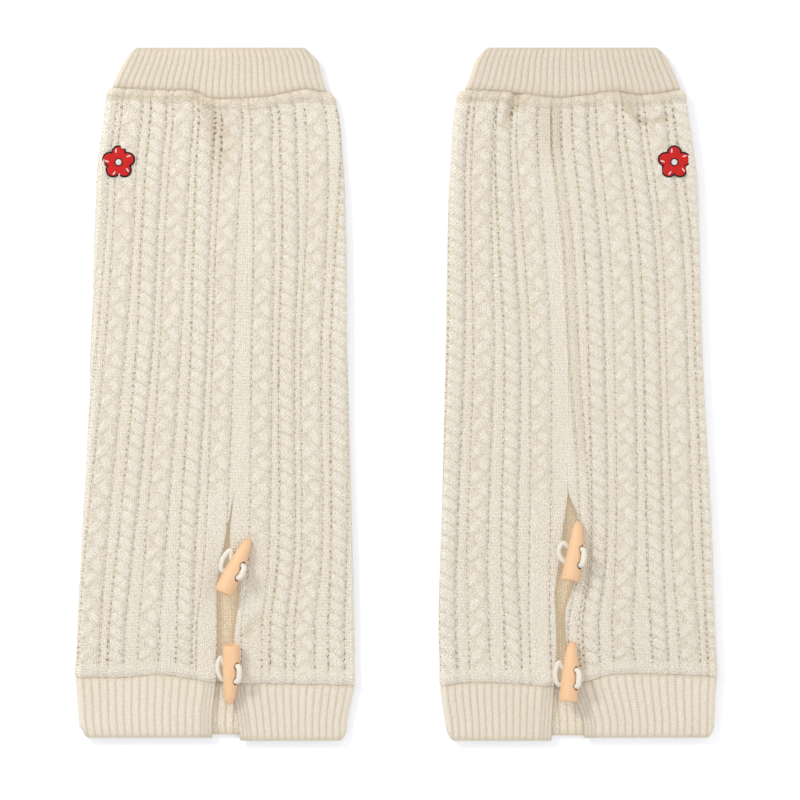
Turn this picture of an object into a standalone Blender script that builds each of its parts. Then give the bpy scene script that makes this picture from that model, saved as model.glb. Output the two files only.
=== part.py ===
"""A pair of cable-knit leg warmers lying flat side by side, hems towards -Y, fronts up.

Each leg is a knitted tube pressed flat: a panel of ropes and plaits, a doubled ribbed
band at the top and a ribbed hem. The front is seamed up its middle above a slit, and
two horn-shaped toggles on cord loops lie over the slit. Sizes below are in millimetres;
the model is in metres, +Z up, and lies on Z = 0 with the pair's middle at the origin.
"""

import math
from collections import namedtuple
from functools import partial

import bmesh
import bpy
from mathutils import Matrix, Vector

MM = 0.001  # one millimetre, in metres

# The columns of the tables. In a leg's own frame x is measured from the middle of the
# leg, to the right, and y from the bottom of its hem, up the leg.
Section = namedtuple("Section", "y left right")
Seam = namedtuple("Seam", "x y")
Slit = namedtuple("Slit", "y left right")
Cable = namedtuple("Cable", "kind hem slit middle top plain_below")
Kind = namedtuple("Kind", "width rise left right")
Pucker = namedtuple("Pucker", "top_x top_y foot_x foot_y depth")
Closure = namedtuple("Closure", "level tip_x tip_y blunt_x blunt_y bar_side bow")
Ring = namedtuple("Ring", "along radius")
Route = namedtuple("Route", "along across height")
Level = namedtuple("Level", "inset height")
RibRow = namedtuple("RibRow", "inset ground rib_rise")
Leg = namedtuple("Leg", "name side body band hem band_seam hem_seam slit cables_left"
                        " cables_right hem_ribs puckers closures")
Lane = namedtuple("Lane", "part kind plain_below")

# ------------------------------------------------------------------ driving dimensions
LEG_SPACING = 220.2      # from the middle of one leg to the middle of the other
TOP = 419.6              # length of a leg, hem to top
WALL = 2.4               # one layer of the knit where it is plain
INNER_GAP = 2.0          # air left between the front and the back layer
KNIT_TOP = 2 * WALL + INNER_GAP
SEAM_GAP = 0.65           # between two seam lines; their chords bring the cloth to 0.3 apart

ROW_PITCH = 3.87         # two knitted rows: a rope crosses every second pitch
COARSE_PITCHES = 6       # pitches between rows on the sides, underside and inside
ROLL_RISE = 1.9          # plain roll beside each seam
SEAM_TOP = 6.0           # height of the front where it sinks in at a seam
SEAM_FADE = 30.0         # length over which the rows straighten away from a wavy seam
PLAIN_ROWS = 3           # rows next to a seam with no cables
CABLE_FADE = 20.0        # length over which a cable flattens beside the slit
LEAST_LANE = 0.9         # least width between two lanes crowded at a side
PUCKER_WIDTH = 6.8       # from a pucker's line to where it ends
PUCKER_FADE = (0.5, 1.2) # stretch of a pucker's length over which it runs out

BAND_RIBS = 32
BAND_CORNER = 6.0        # rounding of the band's top corners
HEM_CORNER = 5.5
PLACKET = 7.0            # plain edge of the hem beside the slit
RIB_LANES_AT_RIM = 3     # lanes of ribs gathered into one at a rim

FOLD_ANGLES = (45.0, 0.0, -45.0, -90.0)
CREASE_ANGLE = math.radians(50.0)
INSIDE_CORNER = 1.0      # width of the bevel where the inside turns back at a side

TOGGLE_LENGTH = 36.3
TOGGLE_SIDES = 12
TOGGLE_REST = KNIT_TOP + 0.42
HOLES_ALONG = (15.4, 27.0)
HOLE_RADIUS = 2.2
HOLE_SIDES = 8
HOLE_CUT = 20.0          # length of a hole's cutter
CORD_RADIUS = 1.5
CORD_SIDES_RESOLUTION = 2
CORD_POINTS = 18

# ------------------------------------------------------------------ tables
# Lobes of a cable from one row to the next: how high its left and right crest stand.
KINDS = {
    "rope": Kind(8.1, 2.0, (1.0, 0.3), (0.3, 1.0)),
    "plait": Kind(10.8, 2.2, (1.0, 0.65, 0.25, 0.65), (0.25, 0.65, 1.0, 0.65)),
    "strand": Kind(4.4, 1.0, (1.0,), (1.0,)),
}
CREST_SHARE = 0.24       # from a cable's middle to a crest, of its width

# Heights at which the tables of cables give their x.
CABLE_HEIGHTS = (70.0, 117.0, 237.0, 358.0)

# Height of the front at an inset from each end of a piece.
PANEL_ENDS = (
    Level(0.0, SEAM_TOP - KNIT_TOP), Level(ROW_PITCH, ROLL_RISE), Level(2 * ROW_PITCH, 0.0),
)
# Rows of the ribbed pieces from bottom to top: inset from the nearer end, height of the
# grooves, and how far the ribs stand above them.
BAND_ROWS = (
    RibRow(0.0, SEAM_TOP, 0.0), RibRow(3.5, 7.1, 0.8),
    RibRow(4.0, 7.1, 0.8), RibRow(0.0, 5.4, 0.0),
)
HEM_ROWS = (
    RibRow(0.0, 5.3, 0.0), RibRow(3.0, 6.0, 0.8),
    RibRow(3.0, 6.0, 0.8), RibRow(0.0, SEAM_TOP, 0.0),
)

# The horn: its radius at a distance from the tip.
HORN = (
    Ring(0.0, 0.0), Ring(0.4, 1.5), Ring(2.4, 2.6), Ring(8.0, 3.75), Ring(21.0, 5.0),
    Ring(35.6, 5.35), Ring(TOGGLE_LENGTH, 4.9), Ring(TOGGLE_LENGTH, 0.0),
)

# The loop seen from the tip: through one hole, along the bar, back through the other
# and down to an arc on the flap.
LOOP_ARC_HEIGHT = KNIT_TOP + 0.5 + CORD_RADIUS
LOOP = (
    Route(15.4, -4.4, 11.5), Route(15.4, 0.0, 11.5), Route(15.4, 4.8, 11.5),
    Route(17.5, 7.0, 11.8), Route(21.2, 7.4, 12.3), Route(24.9, 7.2, 12.5),
    Route(27.0, 5.3, 12.3), Route(27.0, 0.0, 12.3), Route(27.0, -5.3, 12.2),
    Route(25.9, -7.7, 10.5), Route(21.5, -8.6, LOOP_ARC_HEIGHT),
    Route(16.5, -8.1, 9.5), Route(14.6, -6.5, 10.9),
)

LEFT_LEG = Leg(
    name="left", side=-1,
    body=(
        Section(36.3, -84.7, 85.0), Section(61.0, -83.8, 85.0), Section(133.7, -80.2, 83.2),
        Section(230.5, -75.3, 80.8), Section(327.3, -72.0, 79.0), Section(351.5, -71.1, 77.7),
        Section(375.7, -67.5, 75.9), Section(387.8, -65.9, 72.9), Section(392.6, -63.2, 69.9),
    ),
    band=(
        Section(392.6, -62.3, 68.2), Section(399.9, -59.6, 65.6),
        Section(412.0, -54.3, 62.4), Section(TOP, -51.0, 58.0),
    ),
    hem=(
        Section(0.0, -81.0, 80.0), Section(12.7, -82.6, 80.4),
        Section(24.8, -83.4, 82.6), Section(36.3, -84.5, 85.0),
    ),
    band_seam=(
        Seam(-61.0, 395.0), Seam(-31.0, 393.7), Seam(-10.0, 392.6), Seam(10.6, 388.6),
        Seam(38.0, 390.8), Seam(53.5, 394.0), Seam(66.0, 392.5),
    ),
    hem_seam=(
        Seam(-84.0, 38.3), Seam(-54.0, 38.3), Seam(-34.0, 40.0), Seam(0.0, 35.3),
        Seam(18.0, 34.7), Seam(50.0, 34.2), Seam(84.0, 33.5),
    ),
    slit=(
        Slit(0.0, -1.5, 15.4), Slit(16.9, -1.2, 13.6), Slit(35.1, 0.9, 10.6),
        Slit(64.7, 1.5, 12.1), Slit(91.4, 1.5, 14.8), Slit(118.6, 5.7, 9.4),
        Slit(148.0, 11.5, 11.5), Slit(237.0, 19.1, 19.1), Slit(358.0, 20.0, 20.0),
    ),
    cables_left=(
        Cable("plait", -75.0, -71.0, -58.0, -52.0, 0.0),
        Cable("rope", -59.0, -51.7, -40.8, -36.0, 0.0),
        Cable("plait", -38.7, -32.4, -24.5, -20.5, 0.0),
        Cable("rope", -17.7, -13.3, -8.3, -6.1, 0.0),
        Cable("plait", -4.5, 0.0, 5.4, 10.3, 140.0),
    ),
    cables_right=(
        Cable("plait", 22.5, 28.5, 29.3, 29.9, 112.0),
        Cable("rope", 37.9, 45.1, 44.5, 44.5, 0.0),
        Cable("plait", 54.0, 58.7, 59.3, 59.6, 0.0),
        Cable("rope", 73.6, 76.5, 76.0, 74.0, 0.0),
    ),
    hem_ribs=(16, 14),
    puckers=(
        Pucker(-4.0, 388.0, 0.0, 366.0, 1.2),
    ),
    closures=(
        Closure("upper", 21.2, 122.3, 5.9, 90.6, 1, 0.0),
        Closure("lower", 9.0, 22.0, 10.6, 58.1, -1, 0.3),
    ),
)

RIGHT_LEG = Leg(
    name="right", side=1,
    body=(
        Section(36.3, -83.8, 84.4), Section(73.2, -85.0, 82.6), Section(133.7, -83.2, 80.5),
        Section(230.5, -80.8, 75.3), Section(327.3, -79.0, 72.6), Section(351.5, -77.7, 71.1),
        Section(375.7, -75.9, 67.5), Section(387.8, -73.5, 65.3), Section(392.6, -70.5, 62.6),
    ),
    band=(
        Section(392.6, -68.9, 62.1), Section(399.9, -66.2, 59.6),
        Section(412.0, -62.2, 54.3), Section(TOP, -58.5, 51.2),
    ),
    hem=(
        Section(0.0, -79.8, 82.2), Section(12.7, -80.8, 82.6),
        Section(24.8, -82.6, 83.2), Section(36.3, -83.8, 84.4),
    ),
    band_seam=(
        Seam(-68.0, 393.7), Seam(-42.0, 392.6), Seam(-12.0, 389.2), Seam(6.0, 390.8),
        Seam(24.0, 393.2), Seam(38.0, 390.8), Seam(63.0, 393.9),
    ),
    hem_seam=(
        Seam(-83.0, 33.2), Seam(-66.0, 35.2), Seam(-42.0, 34.7), Seam(-15.7, 33.0),
        Seam(4.5, 36.0), Seam(22.0, 40.2), Seam(53.5, 40.1), Seam(84.0, 38.9),
    ),
    slit=(
        Slit(0.0, -16.3, 3.3), Slit(12.0, -15.9, 3.0), Slit(33.3, -14.5, -3.9),
        Slit(51.4, -13.2, -7.0), Slit(76.8, -13.8, -8.2), Slit(90.0, -14.2, -4.6),
        Slit(107.7, -11.5, -0.9), Slit(134.0, -8.5, -0.3), Slit(152.5, -6.3, -6.3),
        Slit(237.0, -6.6, -6.6), Slit(358.0, -17.0, -17.0),
    ),
    cables_left=(
        Cable("rope", -79.0, -78.5, -74.8, -74.0, 0.0),
        Cable("plait", -60.1, -61.0, -56.6, -58.7, 0.0),
        Cable("rope", -39.1, -42.3, -39.6, -45.7, 0.0),
        Cable("plait", -25.0, -26.0, -23.9, -30.6, 140.0),
    ),
    cables_right=(
        Cable("strand", -3.2, 4.0, -2.6, -13.2, 160.0),
        Cable("rope", 5.9, 12.2, 11.8, 2.1, 0.0),
        Cable("plait", 26.7, 29.0, 28.1, 18.6, 0.0),
        Cable("rope", 48.4, 48.1, 44.5, 33.8, 0.0),
        Cable("plait", 66.4, 64.9, 59.6, 49.4, 0.0),
        Cable("rope", 79.2, 77.0, 72.8, 64.4, 0.0),
    ),
    hem_ribs=(14, 16),
    puckers=(
        Pucker(-38.4, 391.0, -45.0, 374.0, 2.4),
        Pucker(28.1, 391.0, 38.0, 374.0, 2.4),
    ),
    closures=(
        Closure("upper", -0.2, 133.1, -5.4, 97.4, 1, 0.8),
        Closure("lower", -4.0, 60.5, -6.5, 23.8, 1, 0.1),
    ),
)


# ------------------------------------------------------------------ curves and finishes
def curve_value(keys, values, at):
    """Value at a key on the smooth curve through a table's rows, level past its ends."""
    if at <= keys[0]:
        return values[0]
    if at >= keys[-1]:
        return values[-1]
    place = next(i for i in range(len(keys) - 1) if at <= keys[i + 1])

    def slope(index):
        before, after = max(index - 1, 0), min(index + 1, len(keys) - 1)
        return (values[after] - values[before]) / (keys[after] - keys[before])

    span = keys[place + 1] - keys[place]
    t = (at - keys[place]) / span
    start = values[place] * (1 + 2 * t) + slope(place) * span * t
    end = values[place + 1] * (3 - 2 * t) - slope(place + 1) * span * (1 - t)
    return start * (1 - t) ** 2 + end * t ** 2


def read(table, column, at):
    """One column of a table at a value of its first column."""
    return curve_value([row[0] for row in table], [getattr(row, column) for row in table], at)


def mean_level(seam):
    """Mean height of a wavy seam."""
    return sum(row.y for row in seam) / len(seam)


def ramp(value, low, high):
    """0 at or below low, 1 at or above high, smooth between."""
    t = min(max((value - low) / (high - low), 0.0), 1.0)
    return t * t * (3 - 2 * t)


def linear_colour(hex_code):
    """RGBA in linear light from an sRGB hex code."""
    channels = [int(hex_code[i:i + 2], 16) / 255 for i in (0, 2, 4)]
    return [((c + 0.055) / 1.055) ** 2.4 if c > 0.04045 else c / 12.92 for c in channels] + [1.0]


def material(name, hex_code, roughness):
    """A matte finish."""
    finish = bpy.data.materials.new(name)
    finish.use_nodes = True
    shader = finish.node_tree.nodes["Principled BSDF"]
    shader.inputs["Base Color"].default_value = linear_colour(hex_code)
    shader.inputs["Roughness"].default_value = roughness
    shader.inputs["Metallic"].default_value = 0.0
    finish.diffuse_color = linear_colour(hex_code)
    return finish


def add_object(name, data, finish, parent):
    """An object of the scene with its own finish, placed under its parent."""
    piece = bpy.data.objects.new(name, data)
    data.materials.append(finish)
    bpy.context.collection.objects.link(piece)
    piece.parent = parent
    return piece


def add_empty(name, location, turn, parent):
    """A frame to place other objects by; location in millimetres, turn about Z."""
    frame = bpy.data.objects.new(name, None)
    frame.location = Vector(location) * MM
    frame.rotation_euler = (0.0, 0.0, turn)
    bpy.context.collection.objects.link(frame)
    frame.parent = parent
    return frame


# ------------------------------------------------------------------ the wall of a flat tube
def spans(stops):
    """Neighbouring pairs of a list of stops."""
    return list(zip(stops, stops[1:]))


def side_fold(end_x, radius, side, y_at):
    """Points round a side fold, from just past the front's edge to the underside."""
    points = []
    for angle in FOLD_ANGLES:
        x = end_x - side * radius * (1.0 - math.cos(math.radians(angle)))
        points.append(Vector((x, y_at(x), radius + radius * math.sin(math.radians(angle)))))
    return points


def inside_corner(end_x, side, y_at):
    """Three points where the inside of the tube turns back, front to underside."""
    turn = end_x - side * WALL
    before = turn - side * INSIDE_CORNER
    return [
        Vector((before, y_at(before), WALL + INNER_GAP)),
        Vector((turn, y_at(turn), WALL + INNER_GAP / 2)),
        Vector((before, y_at(before), WALL)),
    ]


def wall_of_tube(front, ends, y_at, rows, lanes, rim_lanes, slit_lane, slit_row, falls):
    """The closed wall of a flattened tube.

    front is the grid of outer points on the front, by row and lane, ends the left and
    right x of each row, and y_at(row, x) its y. The plain inside follows rows and lanes,
    and the rims at both ends rim_lanes. The slit lies between slit_lane and the next
    lane, below slit_row. falls(row, lane) says which way a quad is creased.
    """
    mesh = bmesh.new()
    last_row, last_lane = len(front) - 1, len(front[0]) - 1

    def key(row, lane):
        """Above the slit its two edges are one line."""
        return (row, slit_lane) if lane == slit_lane + 1 and row >= slit_row else (row, lane)

    def vertex(point):
        return mesh.verts.new(Vector(point) * MM)

    def shown(row, every):
        return rim_lanes if row in (0, last_row) else every

    outer, inner, fold, corner = {}, {}, {}, {}
    for row, points in enumerate(front):
        for lane in shown(row, range(last_lane + 1)):
            if key(row, lane) == (row, lane):
                outer[row, lane] = vertex(points[lane])
    for row in rows:
        for lane in shown(row, lanes):
            if lane not in (0, last_lane) and key(row, lane) == (row, lane):
                point = front[row][lane]
                inner[row, lane] = vertex((point.x, point.y, WALL + INNER_GAP))
        for side, edge in ((-1, 0), (1, last_lane)):
            end_x, radius = ends[row][max(side, 0)], front[row][edge].z / 2
            place = partial(y_at, row)
            fold[row, side] = [vertex(p) for p in side_fold(end_x, radius, side, place)]
            corner[row, side] = [vertex(p) for p in inside_corner(end_x, side, place)]
            inner[row, edge] = corner[row, side][0]

    def outer_run(row, first, last):
        return [outer[key(row, lane)] for lane in shown(row, range(last_lane + 1))
                if first <= lane <= last]

    def inner_run(row, first, last):
        return [inner[key(row, lane)] for lane in shown(row, (first, last))
                if first <= lane <= last]

    def face(*corners):
        mesh.faces.new(corners)

    # The front, creased along its cables, and gathered to fewer lanes at its rims.
    for row in range(last_row):
        gathered = row in (0, last_row - 1)
        for lane, lane_next in spans(rim_lanes if gathered else range(last_lane + 1)):
            if lane == slit_lane:
                continue
            low, high = outer_run(row, lane, lane_next), outer_run(row + 1, lane, lane_next)
            if gathered:
                face(*low, *reversed(high))
            elif falls(row, lane):
                face(low[0], low[1], high[0])
                face(low[1], high[1], high[0])
            else:
                face(low[0], low[1], high[1])
                face(low[0], high[1], high[0])

    # Side folds, underside and inside.
    for low, high in spans(rows):
        for side, edge in ((-1, 0), (1, last_lane)):
            run = [outer[row, edge] for row in range(low, high + 1)]
            face(*run, fold[high, side][0], fold[low, side][0])
            for chain in (fold, corner):
                for here, after in spans(range(len(chain[low, side]))):
                    face(chain[low, side][here], chain[low, side][after],
                         chain[high, side][after], chain[high, side][here])
        for chain in (fold, corner):
            face(chain[low, -1][-1], chain[low, 1][-1], chain[high, 1][-1], chain[high, -1][-1])
        for lane, lane_next in spans([0] + lanes + [last_lane]):
            if lane != slit_lane:
                face(*inner_run(low, lane, lane_next), *reversed(inner_run(high, lane, lane_next)))

    # The edges of the slit.
    for low, high in spans([row for row in rows if row <= slit_row]):
        for lane in (slit_lane, slit_lane + 1):
            if slit_lane < last_lane:
                run = [outer[key(row, lane)] for row in range(low, high + 1)]
                face(*run, inner[key(high, lane)], inner[key(low, lane)])

    # The two end rims.
    for row in (0, last_row):
        for lane, lane_next in spans(rim_lanes):
            if lane != slit_lane:
                face(*outer_run(row, lane, lane_next), *reversed(inner_run(row, lane, lane_next)))
        for side, edge in ((-1, 0), (1, last_lane)):
            bend, turn = fold[row, side], corner[row, side]
            face(outer[row, edge], bend[0], bend[1], turn[1], turn[0])
            face(bend[1], bend[2], bend[3], turn[2], turn[1])
        face(fold[row, -1][-1], fold[row, 1][-1], corner[row, 1][-1], corner[row, -1][-1])

    face_out(mesh)
    return mesh


def face_out(mesh):
    """Turn the faces of one closed body outwards."""
    bmesh.ops.recalc_face_normals(mesh, faces=mesh.faces)
    if mesh.calc_volume(signed=True) < 0.0:
        bmesh.ops.reverse_faces(mesh, faces=mesh.faces)


def finished_mesh(mesh, name):
    """A mesh of triangles, shaded smooth but for its sharp edges."""
    bmesh.ops.triangulate(mesh, faces=[face for face in mesh.faces if len(face.verts) > 3])
    data = bpy.data.meshes.new(name)
    mesh.to_mesh(data)
    mesh.free()
    data.shade_smooth()
    data.set_sharp_from_angle(angle=CREASE_ANGLE)
    return data


# ------------------------------------------------------------------ the cable-knit panel
def cable_middle(leg, cable, height):
    """x of a cable's middle at a height, keeping its share of the panel's width."""
    shares = []
    for level, x in zip(CABLE_HEIGHTS, (cable.hem, cable.slit, cable.middle, cable.top)):
        left, right = read(leg.body, "left", level), read(leg.body, "right", level)
        shares.append((x - left) / (right - left))
    left, right = read(leg.body, "left", height), read(leg.body, "right", height)
    return left + (right - left) * curve_value(CABLE_HEIGHTS, shares, height)


def side_lanes(cables, from_shoulder):
    """The lanes of one side of the front in order, as (lane, cable or None)."""
    lanes = [(Lane("shoulder" if from_shoulder else "slit", None, 0.0), None)]
    if not from_shoulder and cables[0].kind != "strand":
        lanes.append((Lane("placket", None, 0.0), None))
    for cable in cables:
        if cable is not cables[0]:
            lanes.append((Lane("ladder", None, 0.0), None))
        lanes.append((Lane("left", cable.kind, cable.plain_below), cable))
        lanes.append((Lane("right", cable.kind, cable.plain_below), cable))
    if from_shoulder:
        lanes.append((Lane("placket", None, 0.0), None))
    lanes.append((Lane("slit" if from_shoulder else "shoulder", None, 0.0), None))
    return lanes


def lane_places(leg, lanes, height, first_x, last_x):
    """x of each lane of one side; a lane without a cable lies midway between its neighbours."""
    places = []
    for lane, cable in lanes:
        if cable is None:
            places.append(None)
        else:
            shift = KINDS[cable.kind].width * CREST_SHARE
            middle = cable_middle(leg, cable, height)
            places.append(middle - shift if lane.part == "left" else middle + shift)
    places[0], places[-1] = first_x, last_x
    for index, place in enumerate(places):
        if place is None:
            places[index] = (places[index - 1] + places[index + 1]) / 2
    for index in range(1, len(places)):
        places[index] = max(places[index], places[index - 1] + LEAST_LANE)
    places[-1] = last_x
    for index in range(len(places) - 2, 0, -1):
        places[index] = min(places[index], places[index + 1] - LEAST_LANE)
    return places


def cable_rise(lane, row, height):
    """How far a cable's crest stands above the plain knit."""
    kind = KINDS[lane.kind]
    lobes = kind.left if lane.part == "left" else kind.right
    shown = 1.0 if lane.plain_below == 0.0 else ramp(
        height, lane.plain_below, lane.plain_below + CABLE_FADE)
    return kind.rise * lobes[row % len(lobes)] * shown


def pucker_depth(leg, x, y):
    """How far the puckers below the top band sink the front at a point."""
    depth = 0.0
    for pucker in leg.puckers:
        top, foot = Vector((pucker.top_x, pucker.top_y)), Vector((pucker.foot_x, pucker.foot_y))
        run = foot - top
        along = max((Vector((x, y)) - top).dot(run) / run.length_squared, 0.0)
        off = (Vector((x, y)) - top - run * min(along, 1.0)).length
        fade = 1.0 - ramp(along, *PUCKER_FADE)
        depth += pucker.depth * fade * (1.0 - ramp(off, 0.0, PUCKER_WIDTH))
    return depth


def build_leg_panel(leg, finish, parent):
    """The cable-knit panel, seamed up the front above the slit."""
    hem_level = mean_level(leg.hem_seam) + SEAM_GAP / 2
    band_level = mean_level(leg.band_seam) - SEAM_GAP / 2
    count = round((band_level - hem_level) / ROW_PITCH)
    heights = [hem_level + (band_level - hem_level) * row / count for row in range(count + 1)]
    slit_top = next(row.y for row in leg.slit if row.left == row.right)
    slit_row = min(range(count + 1), key=lambda row: abs(heights[row] - slit_top))

    left_lanes = side_lanes(leg.cables_left, True)
    right_lanes = side_lanes(leg.cables_right, False)
    lanes = [lane for lane, _ in left_lanes + right_lanes]
    slit_lane = len(left_lanes) - 1

    def y_at(row, x):
        """The rows run along the wavy seams at both ends and straighten away from them."""
        height = heights[row]
        near_hem = 1.0 - ramp(height, hem_level, hem_level + SEAM_FADE)
        near_band = ramp(height, band_level - SEAM_FADE, band_level)
        return (height
                + (read(leg.hem_seam, "y", x) + SEAM_GAP / 2 - hem_level) * near_hem
                + (read(leg.band_seam, "y", x) - SEAM_GAP / 2 - band_level) * near_band)

    front, ends = [], []
    for row, height in enumerate(heights):
        left, right = read(leg.body, "left", height), read(leg.body, "right", height)
        ends.append((left, right))
        inset = min(height - hem_level, band_level - height)
        roll = curve_value(
            [level.inset for level in PANEL_ENDS], [level.height for level in PANEL_ENDS], inset)
        flat = min(roll, 0.0)
        slit_left, slit_right = read(leg.slit, "left", height), read(leg.slit, "right", height)
        if row >= slit_row:
            slit_left = slit_right = (slit_left + slit_right) / 2
        edge = KNIT_TOP + flat
        xs = lane_places(leg, left_lanes, height, left + edge / 2, slit_left)
        xs += lane_places(leg, right_lanes, height, slit_right, right - edge / 2)
        points = []
        for lane, x in zip(lanes, xs):
            beside_slit = height < slit_top and (
                lane.part in ("slit", "placket") or lane.kind == "strand")
            z = KNIT_TOP + (flat if lane.part == "shoulder" or beside_slit else roll)
            if lane.kind and PLAIN_ROWS <= row <= count - PLAIN_ROWS:
                z += cable_rise(lane, row, height)
            if lane.part != "shoulder":
                z -= pucker_depth(leg, x, height)
            points.append(Vector((x, y_at(row, x), z)))
        front.append(points)

    def falls(row, lane):
        """Ropes lean one way; a plait's lobes lean in and out by turns."""
        lobes = len(KINDS["plait"].left)
        return lanes[lane].kind != "plait" or row % lobes >= lobes // 2

    rows = sorted({0, slit_row, count} | set(range(slit_row, 0, -COARSE_PITCHES))
                  | set(range(slit_row, count, COARSE_PITCHES)))
    inside_lanes = [
        index for index, lane in enumerate(lanes)
        if lane.part == "slit" or (lane.part == "ladder" and index % 2 == 0)]
    rim_lanes = [index for index, lane in enumerate(lanes) if lane.part != "right"]
    mesh = wall_of_tube(front, ends, y_at, rows, inside_lanes, rim_lanes,
                        slit_lane, slit_row, falls)
    name = f"{leg.name}_leg_panel"
    return add_object(name, finished_mesh(mesh, name), finish, parent)


# ------------------------------------------------------------------ the ribbed bands
def corner_lift(x, left, right, radius):
    """How far a rounded corner draws an end edge in, at x."""
    into = min(x - left, right - x)
    if into >= radius:
        return 0.0
    return radius - math.sqrt(radius ** 2 - (radius - max(into, 0.0)) ** 2)


def rib_shares(ribs):
    """Places of grooves and crests across a ribbed stretch, 0 to 1, with their rise."""
    steps = 2 * ribs
    return [(step / steps, step % 2) for step in range(1, steps)]


def build_band(leg, finish, parent):
    """The doubled ribbed band round the top, its outer edge rounded over."""
    seam_level = mean_level(leg.band_seam)
    heights = [seam_level, seam_level + BAND_ROWS[1].inset, TOP - BAND_ROWS[2].inset, TOP]
    ends = [(read(leg.band, "left", height), read(leg.band, "right", height))
            for height in heights]

    def y_at(row, x):
        """The band starts along its seam and ends in rounded corners."""
        if row <= 1:
            return read(leg.band_seam, "y", x) + SEAM_GAP / 2 + BAND_ROWS[row].inset
        if row == len(heights) - 1:
            return TOP - corner_lift(x, *ends[row], BAND_CORNER)
        return heights[row]

    lanes = [(0.0, 0)] + rib_shares(BAND_RIBS) + [(1.0, 0)]
    front = []
    for row, level in enumerate(BAND_ROWS):
        left, right = ends[row]
        xs = [left + level.ground / 2 + (right - left - level.ground) * share
              for share, _ in lanes]
        front.append([Vector((x, y_at(row, x), level.ground + crest * level.rib_rise))
                      for x, (_, crest) in zip(xs, lanes)])
    last = len(lanes) - 1
    rim_lanes = list(range(0, last, RIB_LANES_AT_RIM)) + [last]
    inside_lanes = rim_lanes[3:-3:3]
    mesh = wall_of_tube(front, ends, y_at, list(range(len(heights))), inside_lanes, rim_lanes,
                        len(lanes), 0, lambda row, lane: True)
    name = f"{leg.name}_top_band"
    return add_object(name, finished_mesh(mesh, name), finish, parent)


def build_hem(leg, finish, parent):
    """The ribbed hem, open at the slit, with a plain edge on each flap."""
    seam_level = mean_level(leg.hem_seam)
    heights = [0.0, HEM_ROWS[1].inset, seam_level - HEM_ROWS[2].inset, seam_level]
    ends = [(read(leg.hem, "left", height), read(leg.hem, "right", height))
            for height in heights]

    def y_at(row, x):
        """The hem starts in rounded corners and ends along its seam."""
        if row == 0:
            return corner_lift(x, *ends[row], HEM_CORNER)
        if row >= 2:
            return read(leg.hem_seam, "y", x) - SEAM_GAP / 2 - HEM_ROWS[row].inset
        return heights[row]

    left_lanes, right_lanes = (
        [(0.0, 0)] + rib_shares(ribs) + [(1.0, 0)] for ribs in leg.hem_ribs)
    front = []
    for row, level in enumerate(HEM_ROWS):
        left, right = ends[row][0] + level.ground / 2, ends[row][1] - level.ground / 2
        slit_left = read(leg.slit, "left", heights[row])
        slit_right = read(leg.slit, "right", heights[row])
        places = [(left + (slit_left - PLACKET - left) * share, crest)
                  for share, crest in left_lanes]
        places += [(slit_left, 0), (slit_right, 0)]
        places += [(slit_right + PLACKET + (right - slit_right - PLACKET) * share, crest)
                   for share, crest in right_lanes]
        front.append([Vector((x, y_at(row, x), level.ground + crest * level.rib_rise))
                      for x, crest in places])
    slit_lane, last = len(left_lanes), len(front[0]) - 1
    slit_lanes = {slit_lane, slit_lane + 1}
    rim_lanes = sorted(slit_lanes | {slit_lane - 1, slit_lane + 2}
                       | set(range(0, slit_lane, RIB_LANES_AT_RIM))
                       | set(range(last, slit_lane + 1, -RIB_LANES_AT_RIM)))
    inside_lanes = sorted(slit_lanes | set(rim_lanes[3:-3:3]))
    mesh = wall_of_tube(front, ends, y_at, list(range(len(heights))), inside_lanes, rim_lanes,
                        slit_lane, len(heights), lambda row, lane: True)
    name = f"{leg.name}_hem_band"
    return add_object(name, finished_mesh(mesh, name), finish, parent)


# ------------------------------------------------------------------ toggles and their loops
def horn_radius(along):
    """Radius of the horn at a distance from its tip."""
    body = [ring for ring in HORN if 0.0 < ring.along < TOGGLE_LENGTH]
    return curve_value([ring.along for ring in body], [ring.radius for ring in body], along)


def bowed(closure, along, across):
    """Sideways place of a point on the bowed horn or its loop, across from its axis."""
    bow = closure.bow * math.sin(math.pi * along / TOGGLE_LENGTH)
    return closure.bar_side * (across + bow)


def horn_mesh(name, closure):
    """The horn turned from its profile, bowed sideways, its underside level with the flaps."""
    mesh = bmesh.new()
    profile = [mesh.verts.new((ring.along, 0.0, ring.radius)) for ring in HORN]
    edges = [mesh.edges.new(pair) for pair in spans(profile)]
    bmesh.ops.spin(mesh, geom=profile + edges, cent=(0, 0, 0), axis=(1, 0, 0),
                   angle=2 * math.pi, steps=TOGGLE_SIDES, use_merge=True)
    bmesh.ops.remove_doubles(mesh, verts=mesh.verts, dist=0.001)
    for vert in mesh.verts:
        along = vert.co.x
        vert.co.y += bowed(closure, along, 0.0)
        vert.co.z += TOGGLE_REST + horn_radius(along)
        vert.co *= MM
    face_out(mesh)
    return finished_mesh(mesh, name)


def hole_cutter(name, frame):
    """Two round cutters across the horn, one for each hole."""
    mesh = bmesh.new()
    for along in HOLES_ALONG:
        place = Vector((along, 0.0, TOGGLE_REST + horn_radius(along))) * MM
        bmesh.ops.create_cone(
            mesh, cap_ends=True, segments=HOLE_SIDES, depth=HOLE_CUT * MM,
            radius1=HOLE_RADIUS * MM, radius2=HOLE_RADIUS * MM,
            matrix=Matrix.Translation(place) @ Matrix.Rotation(math.pi / 2, 4, "X"))
    cutter = bpy.data.objects.new(name, finished_mesh(mesh, name))
    bpy.context.collection.objects.link(cutter)
    cutter.parent = frame
    cutter.hide_render = True
    cutter.display_type = "WIRE"
    return cutter


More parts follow.
